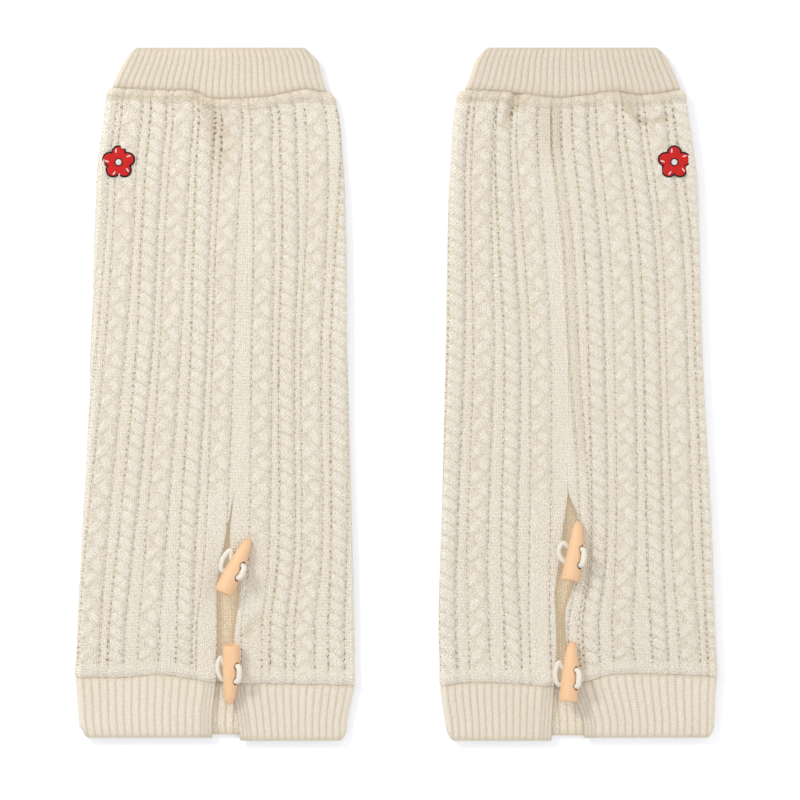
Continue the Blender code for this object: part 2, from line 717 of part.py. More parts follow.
def build_toggle(name, closure, finish, frame):
    """A horn-shaped toggle with two cross holes."""
    toggle = add_object(name, horn_mesh(name, closure), finish, frame)
    holes = toggle.modifiers.new("cross_holes", "BOOLEAN")
    holes.operation = "DIFFERENCE"
    holes.solver = "EXACT"
    holes.object = hole_cutter(f"{name}_holes", frame)
    return toggle


def build_loop(name, closure, finish, frame):
    """The cord loop: through both holes, with a bar at one side and an arc on the flap."""
    stops = list(range(-1, len(LOOP) + 2))
    data = bpy.data.curves.new(name, "CURVE")
    data.dimensions = "3D"
    data.bevel_depth = CORD_RADIUS * MM
    data.bevel_resolution = CORD_SIDES_RESOLUTION
    path = data.splines.new("POLY")
    path.points.add(CORD_POINTS - 1)
    path.use_cyclic_u = True
    for index, point in enumerate(path.points):
        at = len(LOOP) * index / CORD_POINTS
        along, across, height = (
            curve_value(stops, [LOOP[stop % len(LOOP)][axis] for stop in stops], at)
            for axis in range(3))
        point.co = (along * MM, bowed(closure, along, across) * MM, height * MM, 1.0)
    return add_object(name, data, finish, frame)


# ------------------------------------------------------------------ the pair
def build_leg(leg, finishes, pair):
    """One leg warmer: panel, bands, and two toggles with their loops."""
    frame = add_empty(f"{leg.name}_leg", (leg.side * LEG_SPACING / 2, 0.0, 0.0), 0.0, pair)
    pieces = [
        build_leg_panel(leg, finishes["cable knit"], frame),
        build_band(leg, finishes["rib knit"], frame),
        build_hem(leg, finishes["rib knit"], frame),
    ]
    for closure in leg.closures:
        turn = math.atan2(closure.blunt_y - closure.tip_y, closure.blunt_x - closure.tip_x)
        place = add_empty(f"{leg.name}_closure_{closure.level}",
                          (closure.tip_x, closure.tip_y, 0.0), turn, frame)
        pieces.append(build_toggle(
            f"{leg.name}_toggle_{closure.level}", closure, finishes["wood"], place))
        pieces.append(build_loop(
            f"{leg.name}_loop_{closure.level}", closure, finishes["cord"], place))
    return pieces


def centre_pair(pair, pieces):
    """Move the pair so that the middle of its box stands over the origin."""
    bpy.context.view_layer.update()
    corners = [
        piece.matrix_world @ Vector(corner) for piece in pieces for corner in piece.bound_box]
    for axis in (0, 1):
        values = [corner[axis] for corner in corners]
        pair.location[axis] -= (min(values) + max(values)) / 2


def build_pair():
    """Both leg warmers, under one empty."""
    finishes = {
        "cable knit": material("cable_knit", "ece4d2", 0.95),
        "rib knit": material("rib_knit", "e6dccb", 0.95),
        "wood": material("toggle_wood", "eebe8c", 0.45),
        "cord": material("loop_cord", "efe9df", 0.9),
    }
    pair = add_empty("pair", (0.0, 0.0, 0.0), 0.0, None)
    pieces = []
    for leg in (LEFT_LEG, RIGHT_LEG):
        pieces += build_leg(leg, finishes, pair)
    centre_pair(pair, pieces)


for leftover in list(bpy.data.objects):
    bpy.data.objects.remove(leftover, do_unlink=True)
build_pair()
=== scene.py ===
"""The finish of a pair of cable-knit leg warmers lying flat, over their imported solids.

Each leg has a knitted panel of ropes and plaits with ladders of open stitches between
them, the purl side of that panel where the slit shows it, a doubled ribbed band, a ribbed
hem, two horn-shaped toggles on cord loops and a small flower in satin stitch. Sizes are
in millimetres, in a leg's own frame: x from the middle of the leg, y up from its hem.
"""

import logging
import math
from collections.abc import Callable, Sequence
from dataclasses import dataclass, replace
from enum import Enum

import bmesh
import bpy
from bmesh.types import BMesh
from bpy.types import ID, Material, Node, NodeSocket, NodeTree, Object
from mathutils import Matrix, Vector, noise


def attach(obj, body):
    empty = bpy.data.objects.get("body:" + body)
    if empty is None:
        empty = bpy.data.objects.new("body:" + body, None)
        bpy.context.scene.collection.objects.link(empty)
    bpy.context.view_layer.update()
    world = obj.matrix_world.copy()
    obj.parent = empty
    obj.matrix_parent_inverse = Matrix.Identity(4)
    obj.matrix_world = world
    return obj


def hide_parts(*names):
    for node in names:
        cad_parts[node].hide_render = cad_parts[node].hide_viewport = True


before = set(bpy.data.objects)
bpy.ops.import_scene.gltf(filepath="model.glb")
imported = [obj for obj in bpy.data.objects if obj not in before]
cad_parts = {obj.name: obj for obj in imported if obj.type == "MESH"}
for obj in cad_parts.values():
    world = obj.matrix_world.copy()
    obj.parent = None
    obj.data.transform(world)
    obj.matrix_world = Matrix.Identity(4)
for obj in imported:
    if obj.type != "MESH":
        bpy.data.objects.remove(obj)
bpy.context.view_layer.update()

LOG = logging.getLogger("leg_warmers")

MM = 0.001

# ------------------------------------------------------------------ driving dimensions
LEG_MIDDLES = {"left": -109.95, "right": 110.25}
LENGTH = 419.6            # of a leg, hem to top
WALL = 2.4                # one layer of plain knit
FRONT = 6.8               # height of the front where the knit is plain
ROW = 1.935               # one knitted row
WALE = 2.0                # one column of stitches
LADDER_PITCH = 2 * ROW    # from one open stitch of a ladder to the next
CROSSING = 4 * ROW        # from one crossing of a cable to the next
RIB_WALE = 1.3            # one column of the fine ribs
RIB_WALES = 3             # columns from one groove to the next
SEAM_OVERLAP = 0.3        # the panel's edge is sewn over the ribs


# ------------------------------------------------------------------ tables of the garment
class Knit(Enum):
    """What a lane of the knitted panel is."""

    PLAIT = "plait"
    ROPE = "rope"
    STRAND = "strand"
    LADDER = "ladder"
    PLAIN = "plain"


@dataclass(frozen=True)
class Section:
    """The two sides of a leg, or of its slit, at a height."""

    y: float
    left: float
    right: float


@dataclass(frozen=True)
class Spot:
    """A point of a seam line, or the middle of a patch."""

    x: float
    y: float


@dataclass(frozen=True)
class Cable:
    """A rope, plait or strand: x of its middle at five heights, and where it turns plain."""

    kind: Knit
    hem: float
    slit: float
    middle: float
    upper: float
    top: float
    plain_below: float = 0.0

    @property
    def middles(self) -> tuple[float, ...]:
        """x of the middle at each of the cable heights."""
        return (self.hem, self.slit, self.middle, self.upper, self.top)


@dataclass(frozen=True)
class Crease:
    """A soft trough in the front from one point to another; below zero it is a ridge."""

    x0: float
    y0: float
    x1: float
    y1: float
    depth: float
    half_width: float


@dataclass(frozen=True)
class Closure:
    """A toggle and its loop. Its holes and the arc's ends are measured from its tip."""

    level: str
    tip_x: float
    tip_y: float
    blunt_x: float            # middle of the blunt end
    blunt_y: float
    blunt: float              # radius there
    bow: float                # how far the horn bows towards the bar's side
    bar_side: int             # side on which the loop's bar lies, 1 or -1
    first_hole: float
    second_hole: float
    arc_start: float
    arc_end: float
    arc_reach: float          # from the axis to the outside of the arc


CABLE_HEIGHTS = (70.0, 117.0, 237.0, 300.0, 358.0)


@dataclass(frozen=True)
class Leg:
    """The measured form of one leg warmer."""

    name: str
    body: tuple[Section, ...]
    band: tuple[Section, ...]
    hem: tuple[Section, ...]
    band_seam: tuple[Spot, ...]
    hem_seam: tuple[Spot, ...]
    slit: tuple[Section, ...]
    cables_left: tuple[Cable, ...]
    cables_right: tuple[Cable, ...]
    back_cables: int
    hem_ribs: tuple[int, int]
    drops: tuple[float, float, float]
    creases: tuple[Crease, ...]
    stretched: tuple[Spot, ...]
    closures: tuple[Closure, ...]
    flower: Spot

    @property
    def slit_top(self) -> float:
        """Height at which the slit's two edges meet."""
        return next(row.y for row in self.slit if row.left == row.right)

    @property
    def hem_level(self) -> float:
        """Mean height of the hem's seam."""
        return sum(spot.y for spot in self.hem_seam) / len(self.hem_seam)

    @property
    def band_level(self) -> float:
        """Mean height of the top band's seam."""
        return sum(spot.y for spot in self.band_seam) / len(self.band_seam)


LEFT_LEG = Leg(
    name="left",
    body=(
        Section(36.3, -84.7, 85.0), Section(61.0, -83.8, 85.0), Section(133.7, -80.2, 83.2),
        Section(230.5, -75.3, 80.8), Section(327.3, -72.0, 79.0), Section(351.5, -71.1, 77.7),
        Section(375.7, -67.5, 75.9), Section(387.8, -65.9, 72.9), Section(392.6, -63.2, 69.9),
    ),
    band=(
        Section(392.6, -62.3, 68.2), Section(399.9, -59.6, 65.6),
        Section(412.0, -54.3, 62.4), Section(LENGTH, -51.0, 58.0),
    ),
    hem=(
        Section(0.0, -81.0, 80.0), Section(12.7, -82.6, 80.4),
        Section(24.8, -83.4, 82.6), Section(36.3, -84.5, 85.0),
    ),
    band_seam=(
        Spot(-61.0, 395.0), Spot(-31.0, 393.7), Spot(-10.5, 393.0), Spot(-5.0, 389.4),
        Spot(10.6, 388.4),
        Spot(38.0, 390.8), Spot(53.5, 394.0), Spot(66.0, 392.5),
    ),
    hem_seam=(
        Spot(-84.0, 38.3), Spot(-54.0, 38.3), Spot(-34.0, 40.0), Spot(0.0, 35.3),
        Spot(18.0, 34.7), Spot(50.0, 34.2), Spot(84.0, 33.5),
    ),
    slit=(
        Section(0.0, -1.5, 15.4), Section(16.9, -1.2, 13.6), Section(35.1, 0.9, 10.6),
        Section(64.7, 1.5, 12.1), Section(91.4, 1.5, 14.8), Section(118.6, 5.7, 9.4),
        Section(148.0, 11.5, 11.5), Section(237.0, 19.1, 19.1), Section(358.0, 20.0, 20.0),
    ),
    cables_left=(
        Cable(Knit.PLAIT, -75.0, -71.8, -60.2, -55.6, -52.5),
        Cable(Knit.ROPE, -59.0, -54.0, -42.4, -39.6, -35.6),
        Cable(Knit.PLAIT, -39.6, -35.8, -26.8, -24.0, -20.2),
        Cable(Knit.ROPE, -18.0, -16.4, -9.4, -7.8, -5.5),
        Cable(Knit.PLAIT, -4.5, 0.6, 5.2, 6.8, 10.3, plain_below=140.0),
    ),
    cables_right=(
        Cable(Knit.PLAIT, 22.5, 27.0, 28.7, 29.9, 28.6, plain_below=112.0),
        Cable(Knit.ROPE, 38.4, 43.6, 43.8, 45.8, 44.8),
        Cable(Knit.PLAIT, 54.4, 59.0, 58.6, 61.4, 62.5),
        Cable(Knit.ROPE, 73.6, 75.4, 75.2, 78.2, 81.0),
    ),
    back_cables=10,
    hem_ribs=(16, 14),
    drops=(1.8, 0.0, 3.6),
    creases=(
        Crease(-4.0, 388.0, 0.0, 366.0, 1.2, 4.0),
        Crease(-54.1, 386.9, -8.8, 387.2, 0.8, 1.2), Crease(-10.3, 392.5, -10.0, 386.5, 1.5, 1.7),
        Crease(18.3, 62.9, 20.3, 67.8, 1.1, 2.6), Crease(20.3, 67.8, 30.0, 75.6, 1.0, 2.8),
        Crease(17.2, 92.0, 16.6, 68.0, -1.0, 2.2),
    ),
    stretched=(Spot(3.3, 363.0),),
    closures=(
        Closure("upper", 21.2, 122.3, 5.9, 90.6, 5.7, 0.0, 1, 16.2, 23.8, 9.8, 25.4, 9.0),
        Closure("lower", 9.0, 22.0, 10.6, 58.1, 5.2, 0.3, -1, 14.8, 23.8, 15.6, 29.6, 8.2),
    ),
    flower=Spot(-57.9, 350.0),
)

RIGHT_LEG = Leg(
    name="right",
    body=(
        Section(36.3, -83.8, 84.4), Section(73.2, -85.0, 82.6), Section(133.7, -83.2, 80.5),
        Section(230.5, -80.8, 75.3), Section(327.3, -79.0, 72.6), Section(351.5, -77.7, 71.1),
        Section(375.7, -75.9, 67.5), Section(387.8, -73.5, 65.3), Section(392.6, -70.5, 62.6),
    ),
    band=(
        Section(392.6, -68.9, 62.1), Section(399.9, -66.2, 59.6),
        Section(412.0, -62.2, 54.3), Section(LENGTH, -58.5, 51.2),
    ),
    hem=(
        Section(0.0, -79.8, 82.2), Section(12.7, -80.8, 82.6),
        Section(24.8, -82.6, 83.2), Section(36.3, -83.8, 84.4),
    ),
    band_seam=(
        Spot(-68.0, 393.7), Spot(-42.0, 392.6), Spot(-12.0, 389.2), Spot(6.0, 390.8),
        Spot(24.0, 393.2), Spot(38.0, 390.8), Spot(63.0, 393.9),
    ),
    hem_seam=(
        Spot(-83.0, 33.2), Spot(-66.0, 35.2), Spot(-42.0, 34.7), Spot(-15.7, 33.0),
        Spot(4.5, 36.0), Spot(22.0, 40.2), Spot(53.5, 40.1), Spot(84.0, 38.9),
    ),
    slit=(
        Section(0.0, -16.3, 3.3), Section(12.0, -15.9, 3.0), Section(33.3, -14.5, -3.9),
        Section(51.4, -13.2, -7.0), Section(76.8, -13.8, -8.2), Section(90.0, -14.2, -4.6),
        Section(107.7, -11.5, -0.9), Section(134.0, -8.5, -0.3), Section(152.5, -6.3, -6.3),
        Section(237.0, -6.6, -6.6), Section(358.0, -17.0, -17.0),
    ),
    cables_left=(
        Cable(Knit.ROPE, -79.0, -78.5, -73.8, -73.2, -72.9),
        Cable(Knit.PLAIT, -60.4, -61.2, -57.2, -58.5, -58.3),
        Cable(Knit.ROPE, -39.8, -41.8, -39.9, -43.2, -45.9),
        Cable(Knit.PLAIT, -23.6, -23.4, -23.1, -26.9, -31.2, plain_below=140.0),
    ),
    cables_right=(
        Cable(Knit.STRAND, -3.2, 4.0, -2.8, -6.2, -13.2, plain_below=160.0),
        Cable(Knit.ROPE, 7.2, 12.2, 11.0, 8.2, 1.8),
        Cable(Knit.PLAIT, 26.6, 28.9, 28.1, 25.1, 18.4),
        Cable(Knit.ROPE, 48.6, 46.4, 44.4, 41.6, 34.0),
        Cable(Knit.PLAIT, 66.5, 63.0, 59.5, 57.0, 49.2),
        Cable(Knit.ROPE, 82.0, 80.0, 75.4, 73.2, 65.4),
    ),
    back_cables=9,
    hem_ribs=(14, 16),
    drops=(0.0, 1.8, 3.0),
    creases=(
        Crease(-37.0, 392.0, -41.4, 380.0, 2.6, 2.6), Crease(-41.4, 380.0, -45.5, 370.0, 1.6, 2.0),
        Crease(-36.0, 381.0, -38.0, 371.0, -0.8, 1.8),
        Crease(28.5, 391.5, 31.2, 382.0, 2.4, 2.8), Crease(31.2, 382.0, 38.0, 374.5, 2.2, 1.9),
        Crease(38.0, 374.5, 54.0, 376.5, 1.5, 1.7), Crease(-60.0, 386.5, -30.0, 385.5, 0.6, 1.2),
    ),
    stretched=(Spot(-17.0, 371.0),),
    closures=(
        Closure("upper", -0.2, 133.1, -5.4, 97.4, 5.6, 0.8, 1, 16.6, 26.0, 13.0, 25.0, 9.8),
        Closure("lower", -4.0, 60.5, -6.5, 23.8, 5.4, 0.1, 1, 17.2, 26.6, 12.0, 27.6, 8.6),
    ),
    flower=Spot(57.9, 350.0),
)


# ------------------------------------------------------------------ curves
def curve_value(keys: Sequence[float], values: Sequence[float], at: float) -> float:
    """Value on the smooth curve through a table's rows, level past its ends.

    Args:
        keys: The places of the rows, rising.
        values: The value at each row.
        at: Where to read.

    Returns:
        The value there.
    """
    if at <= keys[0]:
        return values[0]
    if at >= keys[-1]:
        return values[-1]
    place = next(i for i in range(len(keys) - 1) if at <= keys[i + 1])

    def slope(index: int) -> float:
        """Slope of the chord through a row's neighbours."""
        before, after = max(index - 1, 0), min(index + 1, len(keys) - 1)
        return (values[after] - values[before]) / (keys[after] - keys[before])

    span = keys[place + 1] - keys[place]
    t = (at - keys[place]) / span
    start = values[place] * (1 + 2 * t) + slope(place) * span * t
    end = values[place + 1] * (3 - 2 * t) - slope(place + 1) * span * (1 - t)
    return start * (1 - t) ** 2 + end * t ** 2


def sides_at(table: Sequence[Section], y: float) -> tuple[float, float]:
    """The left and right x of a table of sections at a height.

    Args:
        table: Rows from the bottom up.
        y: The height.

    Returns:
        The left x and the right x.
    """
    keys = [row.y for row in table]
    return (curve_value(keys, [row.left for row in table], y),
            curve_value(keys, [row.right for row in table], y))


def seam_y(seam: Sequence[Spot], x: float) -> float:
    """Height of a wavy seam at x."""
    return curve_value([spot.x for spot in seam], [spot.y for spot in seam], x)


def ramp(value: float, low: float, high: float) -> float:
    """0 at or below low, 1 at or above high, smooth between."""
    t = min(max((value - low) / (high - low), 0.0), 1.0)
    return t * t * (3 - 2 * t)


def lerp(start: float, end: float, share: float) -> float:
    """The value a share of the way from start to end."""
    return start + (end - start) * share


def zigzag(value: float, half: float) -> float:
    """Distance from the nearest multiple of twice half."""
    return abs((value + half) % (2 * half) - half)


# ------------------------------------------------------------------ finishes
def linear_colour(hex_code: str) -> tuple[float, float, float, float]:
    """RGBA in linear light from an sRGB hex code.

    Args:
        hex_code: Six digits, two to a channel.

    Returns:
        Red, green, blue and 1.
    """
    channels = [int(hex_code[i:i + 2], 16) / 255 for i in (0, 2, 4)]
    red, green, blue = (
        ((c + 0.055) / 1.055) ** 2.4 if c > 0.04045 else c / 12.92 for c in channels)
    return (red, green, blue, 1.0)


def set_inputs(tree: NodeTree, node: Node, inputs: dict) -> None:
    """Set a node's inputs or link them.

    Args:
        tree: The material's node tree.
        node: The node.
        inputs: By socket name or number, a value or the socket to link from.
    """
    for key, value in inputs.items():
        if isinstance(value, NodeSocket):
            tree.links.new(value, node.inputs[key])
        else:
            node.inputs[key].default_value = value


def add_node(tree: NodeTree, kind: str, inputs: dict | None = None,
             **settings: object) -> Node:
    """Add one node with its settings and inputs.

    Args:
        tree: The material's node tree.
        kind: The node's type name after ShaderNode.
        inputs: By socket name or number, a value or the socket to link from.
        **settings: Properties of the node.

    Returns:
        The node.
    """
    node = tree.nodes.new(f"ShaderNode{kind}")
    for name, value in settings.items():
        setattr(node, name, value)
    set_inputs(tree, node, inputs or {})
    return node


def new_material(name: str) -> tuple[Material, NodeTree, Node]:
    """A material with its tree and its Principled shader.

    Args:
        name: The material's name.

    Returns:
        The material, its tree and its shader.
    """
    material = bpy.data.materials.new(name)
    material.use_nodes = True
    return material, material.node_tree, material.node_tree.nodes["Principled BSDF"]


def stitch_height(tree: NodeTree, across: NodeSocket,
                  along: NodeSocket, wale: float, row: float) -> NodeSocket:
    """Height of plain knit, 0 between the loops and 1 on their legs.

    Args:
        tree: The material's node tree.
        across: Millimetres across the wales, 0 between two of them.
        along: Millimetres along the wales.
        wale: Width of a wale.
        row: Height of a row.

    Returns:
        The height socket.
    """
    side = add_node(tree, "Math", {0: across, 1: wale / 2}, operation="PINGPONG")
    leaning = add_node(tree, "Math", {0: side.outputs[0], 1: 0.8, 2: along}, operation="MULTIPLY_ADD")
    in_row = add_node(tree, "Math", {0: leaning.outputs[0], 1: row / 2}, operation="PINGPONG")
    in_leg = add_node(tree, "Math", {0: across, 1: wale / 4}, operation="PINGPONG")
    both = add_node(tree, "Math", {0: in_row.outputs[0], 1: in_leg.outputs[0]}, operation="MULTIPLY")
    share = add_node(tree, "Math", {0: both.outputs[0], 1: 8 / (row * wale)}, operation="MULTIPLY")
    rounded = add_node(tree, "Math", {0: share.outputs[0], 1: 0.5}, operation="POWER")
    return rounded.outputs[0]


@dataclass(frozen=True)
class KnittedYarn:
    """Plied acrylic and wool yarn, knitted and steamed flat.

    The matt, slightly hairy ply breaks up every highlight, and the V of each loop reads as a
    fine grain down the wales; painted shade darkens and warms the hollows and the gaps between loops.
    """

    name: str
    yarn: str = "f5eee0"
    # colour of the painted shade in the hollows
    painted_shade: str = "d6c6a8"
    # colour of the painted shade in the gaps and the open stitches
    gap_shade: str = "8a7657"
    wale: float = WALE
    row: float = ROW
    relief: float = 0.5
    open_stitches: bool = False
    purl: bool = False
    shade_flecks: float = 0.22
    grain: float = 0.42           # share of the painted shade's colour between the loops
    painted_glow: float = 0.0
    painted_glow_colour: str = "f6efe2"        # colour of the painted glow

    def make(self) -> Material:
        """Build the material.

        Returns:
            The material, which reads the maps knit_uv and open_uv, the point attribute
            that gives how much shade is painted, and openness.
        """
        material, tree, shader = new_material(self.name)
        place = add_node(tree, "TexCoord")
        # No two stitches lie quite alike: they wander by some 0.3 mm.
        noise = add_node(tree, "TexNoise",
                         {"Vector": place.outputs["Object"], "Scale": 520.0, "Detail": 1.0})
        wander = add_node(tree, "VectorMath",
                          {0: noise.outputs["Color"], 1: (0.5, 0.5, 0.5)}, operation="SUBTRACT")
        uv = add_node(tree, "UVMap", uv_map="knit_uv")
        moved = add_node(tree, "VectorMath",
                         {0: wander.outputs[0], 1: (1.1, 1.1, 0.0), 2: uv.outputs["UV"]},
                         operation="MULTIPLY_ADD")
        split = add_node(tree, "SeparateXYZ", {0: moved.outputs[0]})
        across, along = split.outputs["X"], split.outputs["Y"]
        if self.purl:
            across, along = along, across
        loops = stitch_height(tree, across, along, self.wale, self.row)
        # Fibres are some 0.02 mm across; drawn at 0.5 mm so that the fuzz shows.
        fibres = add_node(tree, "TexNoise",
                          {"Vector": place.outputs["Object"], "Scale": 2000.0, "Detail": 3.0})
        clouds = add_node(tree, "TexNoise",
                          {"Vector": place.outputs["Object"], "Scale": 28.0, "Detail": 2.0})
        # Painted shade: dark flecks in the gaps between loops that lie loosely.
        loose = add_node(tree, "TexNoise",
                         {"Vector": place.outputs["Object"], "Scale": 1000.0, "Detail": 1.5})
        fleck_shade = add_node(tree, "MapRange",
                         {"Value": loose.outputs["Fac"], "From Min": 0.5, "From Max": 0.36,
                          "To Min": 0.0, "To Max": self.shade_flecks})
        between = add_node(tree, "Math", {0: loops, 1: -0.75, 2: 1.0}, operation="MULTIPLY_ADD")
        pit = add_node(tree, "Math",
                       {0: fleck_shade.outputs["Result"], 1: between.outputs[0]}, operation="MULTIPLY")
        # Painted shade: a darker, warmer colour in the hollows, and a share of it between the loops.
        shade_attribute = add_node(tree, "Attribute", attribute_name="painted_shade")
        loop_gap_shade = add_node(tree, "Math", {0: loops, 1: -self.grain, 2: self.grain},
                          operation="MULTIPLY_ADD")
        shade = add_node(tree, "Math",
                         {0: shade_attribute.outputs["Fac"], 1: 0.62, 2: loop_gap_shade.outputs[0]},
                         operation="MULTIPLY_ADD", use_clamp=True)
        # Random mottling of the yarn's own tone, on top of the painted shade.
        mottle_and_shade = add_node(tree, "Math",
                          {0: clouds.outputs["Fac"], 1: 0.16, 2: shade.outputs[0]},
                          operation="MULTIPLY_ADD", use_clamp=True)
        colour = add_node(tree, "Mix",
                          {"Factor": mottle_and_shade.outputs[0], "A": linear_colour(self.yarn),
                           "B": linear_colour(self.painted_shade)}, data_type="RGBA")
        pitted = add_node(tree, "Mix",
                          {"Factor": pit.outputs[0], "A": colour.outputs["Result"],
                           "B": linear_colour(self.gap_shade)}, data_type="RGBA")
        ground = add_node(tree, "Math", {0: pit.outputs[0], 1: -1.2, 2: loops},
                          operation="MULTIPLY_ADD")
        paint, height = pitted.outputs["Result"], ground.outputs[0]
        # Painted shade in the open stitches of the ladders.
        if self.open_stitches:
            hole = self.hole_mask(tree, wander.outputs[0])
            dark = add_node(tree, "Mix",
                            {"Factor": hole, "A": paint, "B": linear_colour(self.gap_shade)},
                            data_type="RGBA")
            sunk = add_node(tree, "Math", {0: hole, 1: -2.0, 2: height}, operation="MULTIPLY_ADD")
            paint, height = dark.outputs["Result"], sunk.outputs[0]
        rough = add_node(tree, "Math",
                         {0: fibres.outputs["Fac"], 1: 0.5, 2: height}, operation="MULTIPLY_ADD")
        bump = add_node(tree, "Bump",
                        {"Height": rough.outputs[0], "Strength": 1.0,
                         "Distance": self.relief * MM})
        # Painted light: a faint emission brightens the knit, standing in for light that soaks through
        # the loose plies.
        set_inputs(tree, shader, {
            "Base Color": paint, "Normal": bump.outputs["Normal"], "Roughness": 0.92,
            "Emission Color": linear_colour(self.painted_glow_colour), "Emission Strength": self.painted_glow,
            "Specular IOR Level": 0.25, "Sheen Weight": 0.12, "Sheen Roughness": 0.6})
        return material

    def hole_mask(self, tree: NodeTree,
                  wander: NodeSocket) -> NodeSocket:
        """1 in the open stitches of a ladder, whose size follows how far the knit is stretched.

        Args:
            tree: The material's node tree.
            wander: How far the stitches stray, around 0.

        Returns:
            The mask socket.
        """
        uv = add_node(tree, "UVMap", uv_map="open_uv")
        moved = add_node(tree, "VectorMath",
                         {0: wander, 1: (2.4, 4.5, 0.0), 2: uv.outputs["UV"]},
                         operation="MULTIPLY_ADD")
        split = add_node(tree, "SeparateXYZ", {0: moved.outputs[0]})
        in_pitch = add_node(tree, "Math",
                            {0: split.outputs["Y"], 1: LADDER_PITCH / 2}, operation="PINGPONG")
        tall = add_node(tree, "Math", {0: in_pitch.outputs[0], 1: 0.7}, operation="MULTIPLY")
        offset = add_node(tree, "CombineXYZ", {"X": split.outputs["X"], "Y": tall.outputs[0]})
        distance = add_node(tree, "VectorMath", {0: offset.outputs[0]}, operation="LENGTH")
        openness = add_node(tree, "Attribute", attribute_name="openness")
        edge = add_node(tree, "Math", {0: openness.outputs["Fac"], 1: 0.4, 2: 0.5},
                        operation="MULTIPLY_ADD")
        inside = add_node(tree, "MapRange",
                          {"Value": distance.outputs["Value"], "From Min": edge.outputs[0],
                           "From Max": 0.15, "To Min": 0.0, "To Max": 1.0})
        mask = add_node(tree, "Math",
                        {0: inside.outputs["Result"], 1: openness.outputs["Fac"]},
                        operation="MULTIPLY", use_clamp=True)
        return mask.outputs[0]


@dataclass(frozen=True)
class TurnedWood:
    """Pale beech, turned to a horn and lacquered.

    The satin lacquer gives one broad soft highlight, and the grain shows as faint streaks
    along the horn.
    """

    name: str = "lacquered_beech"
    light: str = "ecc59a"
    dark: str = "deae82"
    # colour of the painted shade on the walls of the cross holes
    drilled_and_shaded: str = "5f4028"

    def make(self) -> Material:
        """Build the material, which reads the map grain_uv and the attribute that marks the hole walls,
        which take a painted shade.

        Returns:
            The material.
        """
        material, tree, shader = new_material(self.name)
        uv = add_node(tree, "UVMap", uv_map="grain_uv")
        streaks = add_node(tree, "Mapping", {"Vector": uv.outputs["UV"], "Scale": (0.08, 1.4, 1.0)})
        grain = add_node(tree, "TexNoise",
                         {"Vector": streaks.outputs["Vector"], "Scale": 1.0, "Detail": 4.0})
        wood = add_node(tree, "Mix",
                        {"Factor": grain.outputs["Fac"], "A": linear_colour(self.light),
                         "B": linear_colour(self.dark)}, data_type="RGBA")
        # Painted shade: the walls of the holes are dark brown.
        hole = add_node(tree, "Attribute", attribute_name="drilled_and_shaded")
        paint = add_node(tree, "Mix",
                         {"Factor": hole.outputs["Fac"], "A": wood.outputs["Result"],
                          "B": linear_colour(self.drilled_and_shaded)}, data_type="RGBA")
        bump = add_node(tree, "Bump",
                        {"Height": grain.outputs["Fac"], "Strength": 0.3, "Distance": 0.1 * MM})
        set_inputs(tree, shader, {
            "Base Color": paint.outputs["Result"], "Normal": bump.outputs["Normal"],
            "Roughness": 0.55, "Coat Weight": 0.08, "Coat Roughness": 0.35})
        return material


@dataclass(frozen=True)
class BraidedCord:
    """Waxed cotton cord, braided round: soft off-white with a fine slanting braid."""

    name: str = "waxed_cotton_cord"
    cotton: str = "f4f0e6"
    groove: str = "cfc6b2"

    def make(self) -> Material:
        """Build the material, which reads the map cord_uv.

        Returns:
            The material.
        """
        material, tree, shader = new_material(self.name)
        uv = add_node(tree, "UVMap", uv_map="cord_uv")
        split = add_node(tree, "SeparateXYZ", {0: uv.outputs["UV"]})
        # The braid's own strands are 0.4 mm apart; drawn at 0.9 mm so that they show.
        braid = stitch_height(tree, split.outputs["X"], split.outputs["Y"], 1.57, 0.9)
        # Painted shade: the grooves between the braid's strands are darker.
        paint = add_node(tree, "Mix",
                         {"Factor": braid, "A": linear_colour(self.groove),
                          "B": linear_colour(self.cotton)}, data_type="RGBA")
        bump = add_node(tree, "Bump", {"Height": braid, "Strength": 0.5, "Distance": 0.15 * MM})
        set_inputs(tree, shader, {"Base Color": paint.outputs["Result"],
                                  "Normal": bump.outputs["Normal"], "Roughness": 0.6})
        return material


@dataclass(frozen=True)
class SatinStitch:
    """Rayon embroidery thread laid side by side: a soft gloss along the stitches."""

    name: str
    thread: str

    def make(self) -> Material:
        """Build the material, which reads the map satin_uv.

        Returns:
            The material.
        """
        material, tree, shader = new_material(self.name)
        uv = add_node(tree, "UVMap", uv_map="satin_uv")
        split = add_node(tree, "SeparateXYZ", {0: uv.outputs["UV"]})
        # Thread is 0.3 mm wide; drawn at 0.6 mm so that single stitches show.
        ridge = add_node(tree, "Math", {0: split.outputs["X"], 1: 0.3}, operation="PINGPONG")
        bump = add_node(tree, "Bump",
                        {"Height": ridge.outputs[0], "Strength": 1.0, "Distance": 0.6 * MM})
        # Painted shade: the thread is darker between the stitches.
        thread_shade = add_node(tree, "MapRange", {"Value": ridge.outputs[0], "From Max": 0.25, "To Min": 0.55})
        paint = add_node(tree, "VectorMath",
                         {0: linear_colour(self.thread)[:3], "Scale": thread_shade.outputs["Result"]},
                         operation="SCALE")
        set_inputs(tree, shader, {"Base Color": paint.outputs[0],
                                  "Normal": bump.outputs["Normal"], "Roughness": 0.7,
                                  "Specular IOR Level": 0.2})
        return material


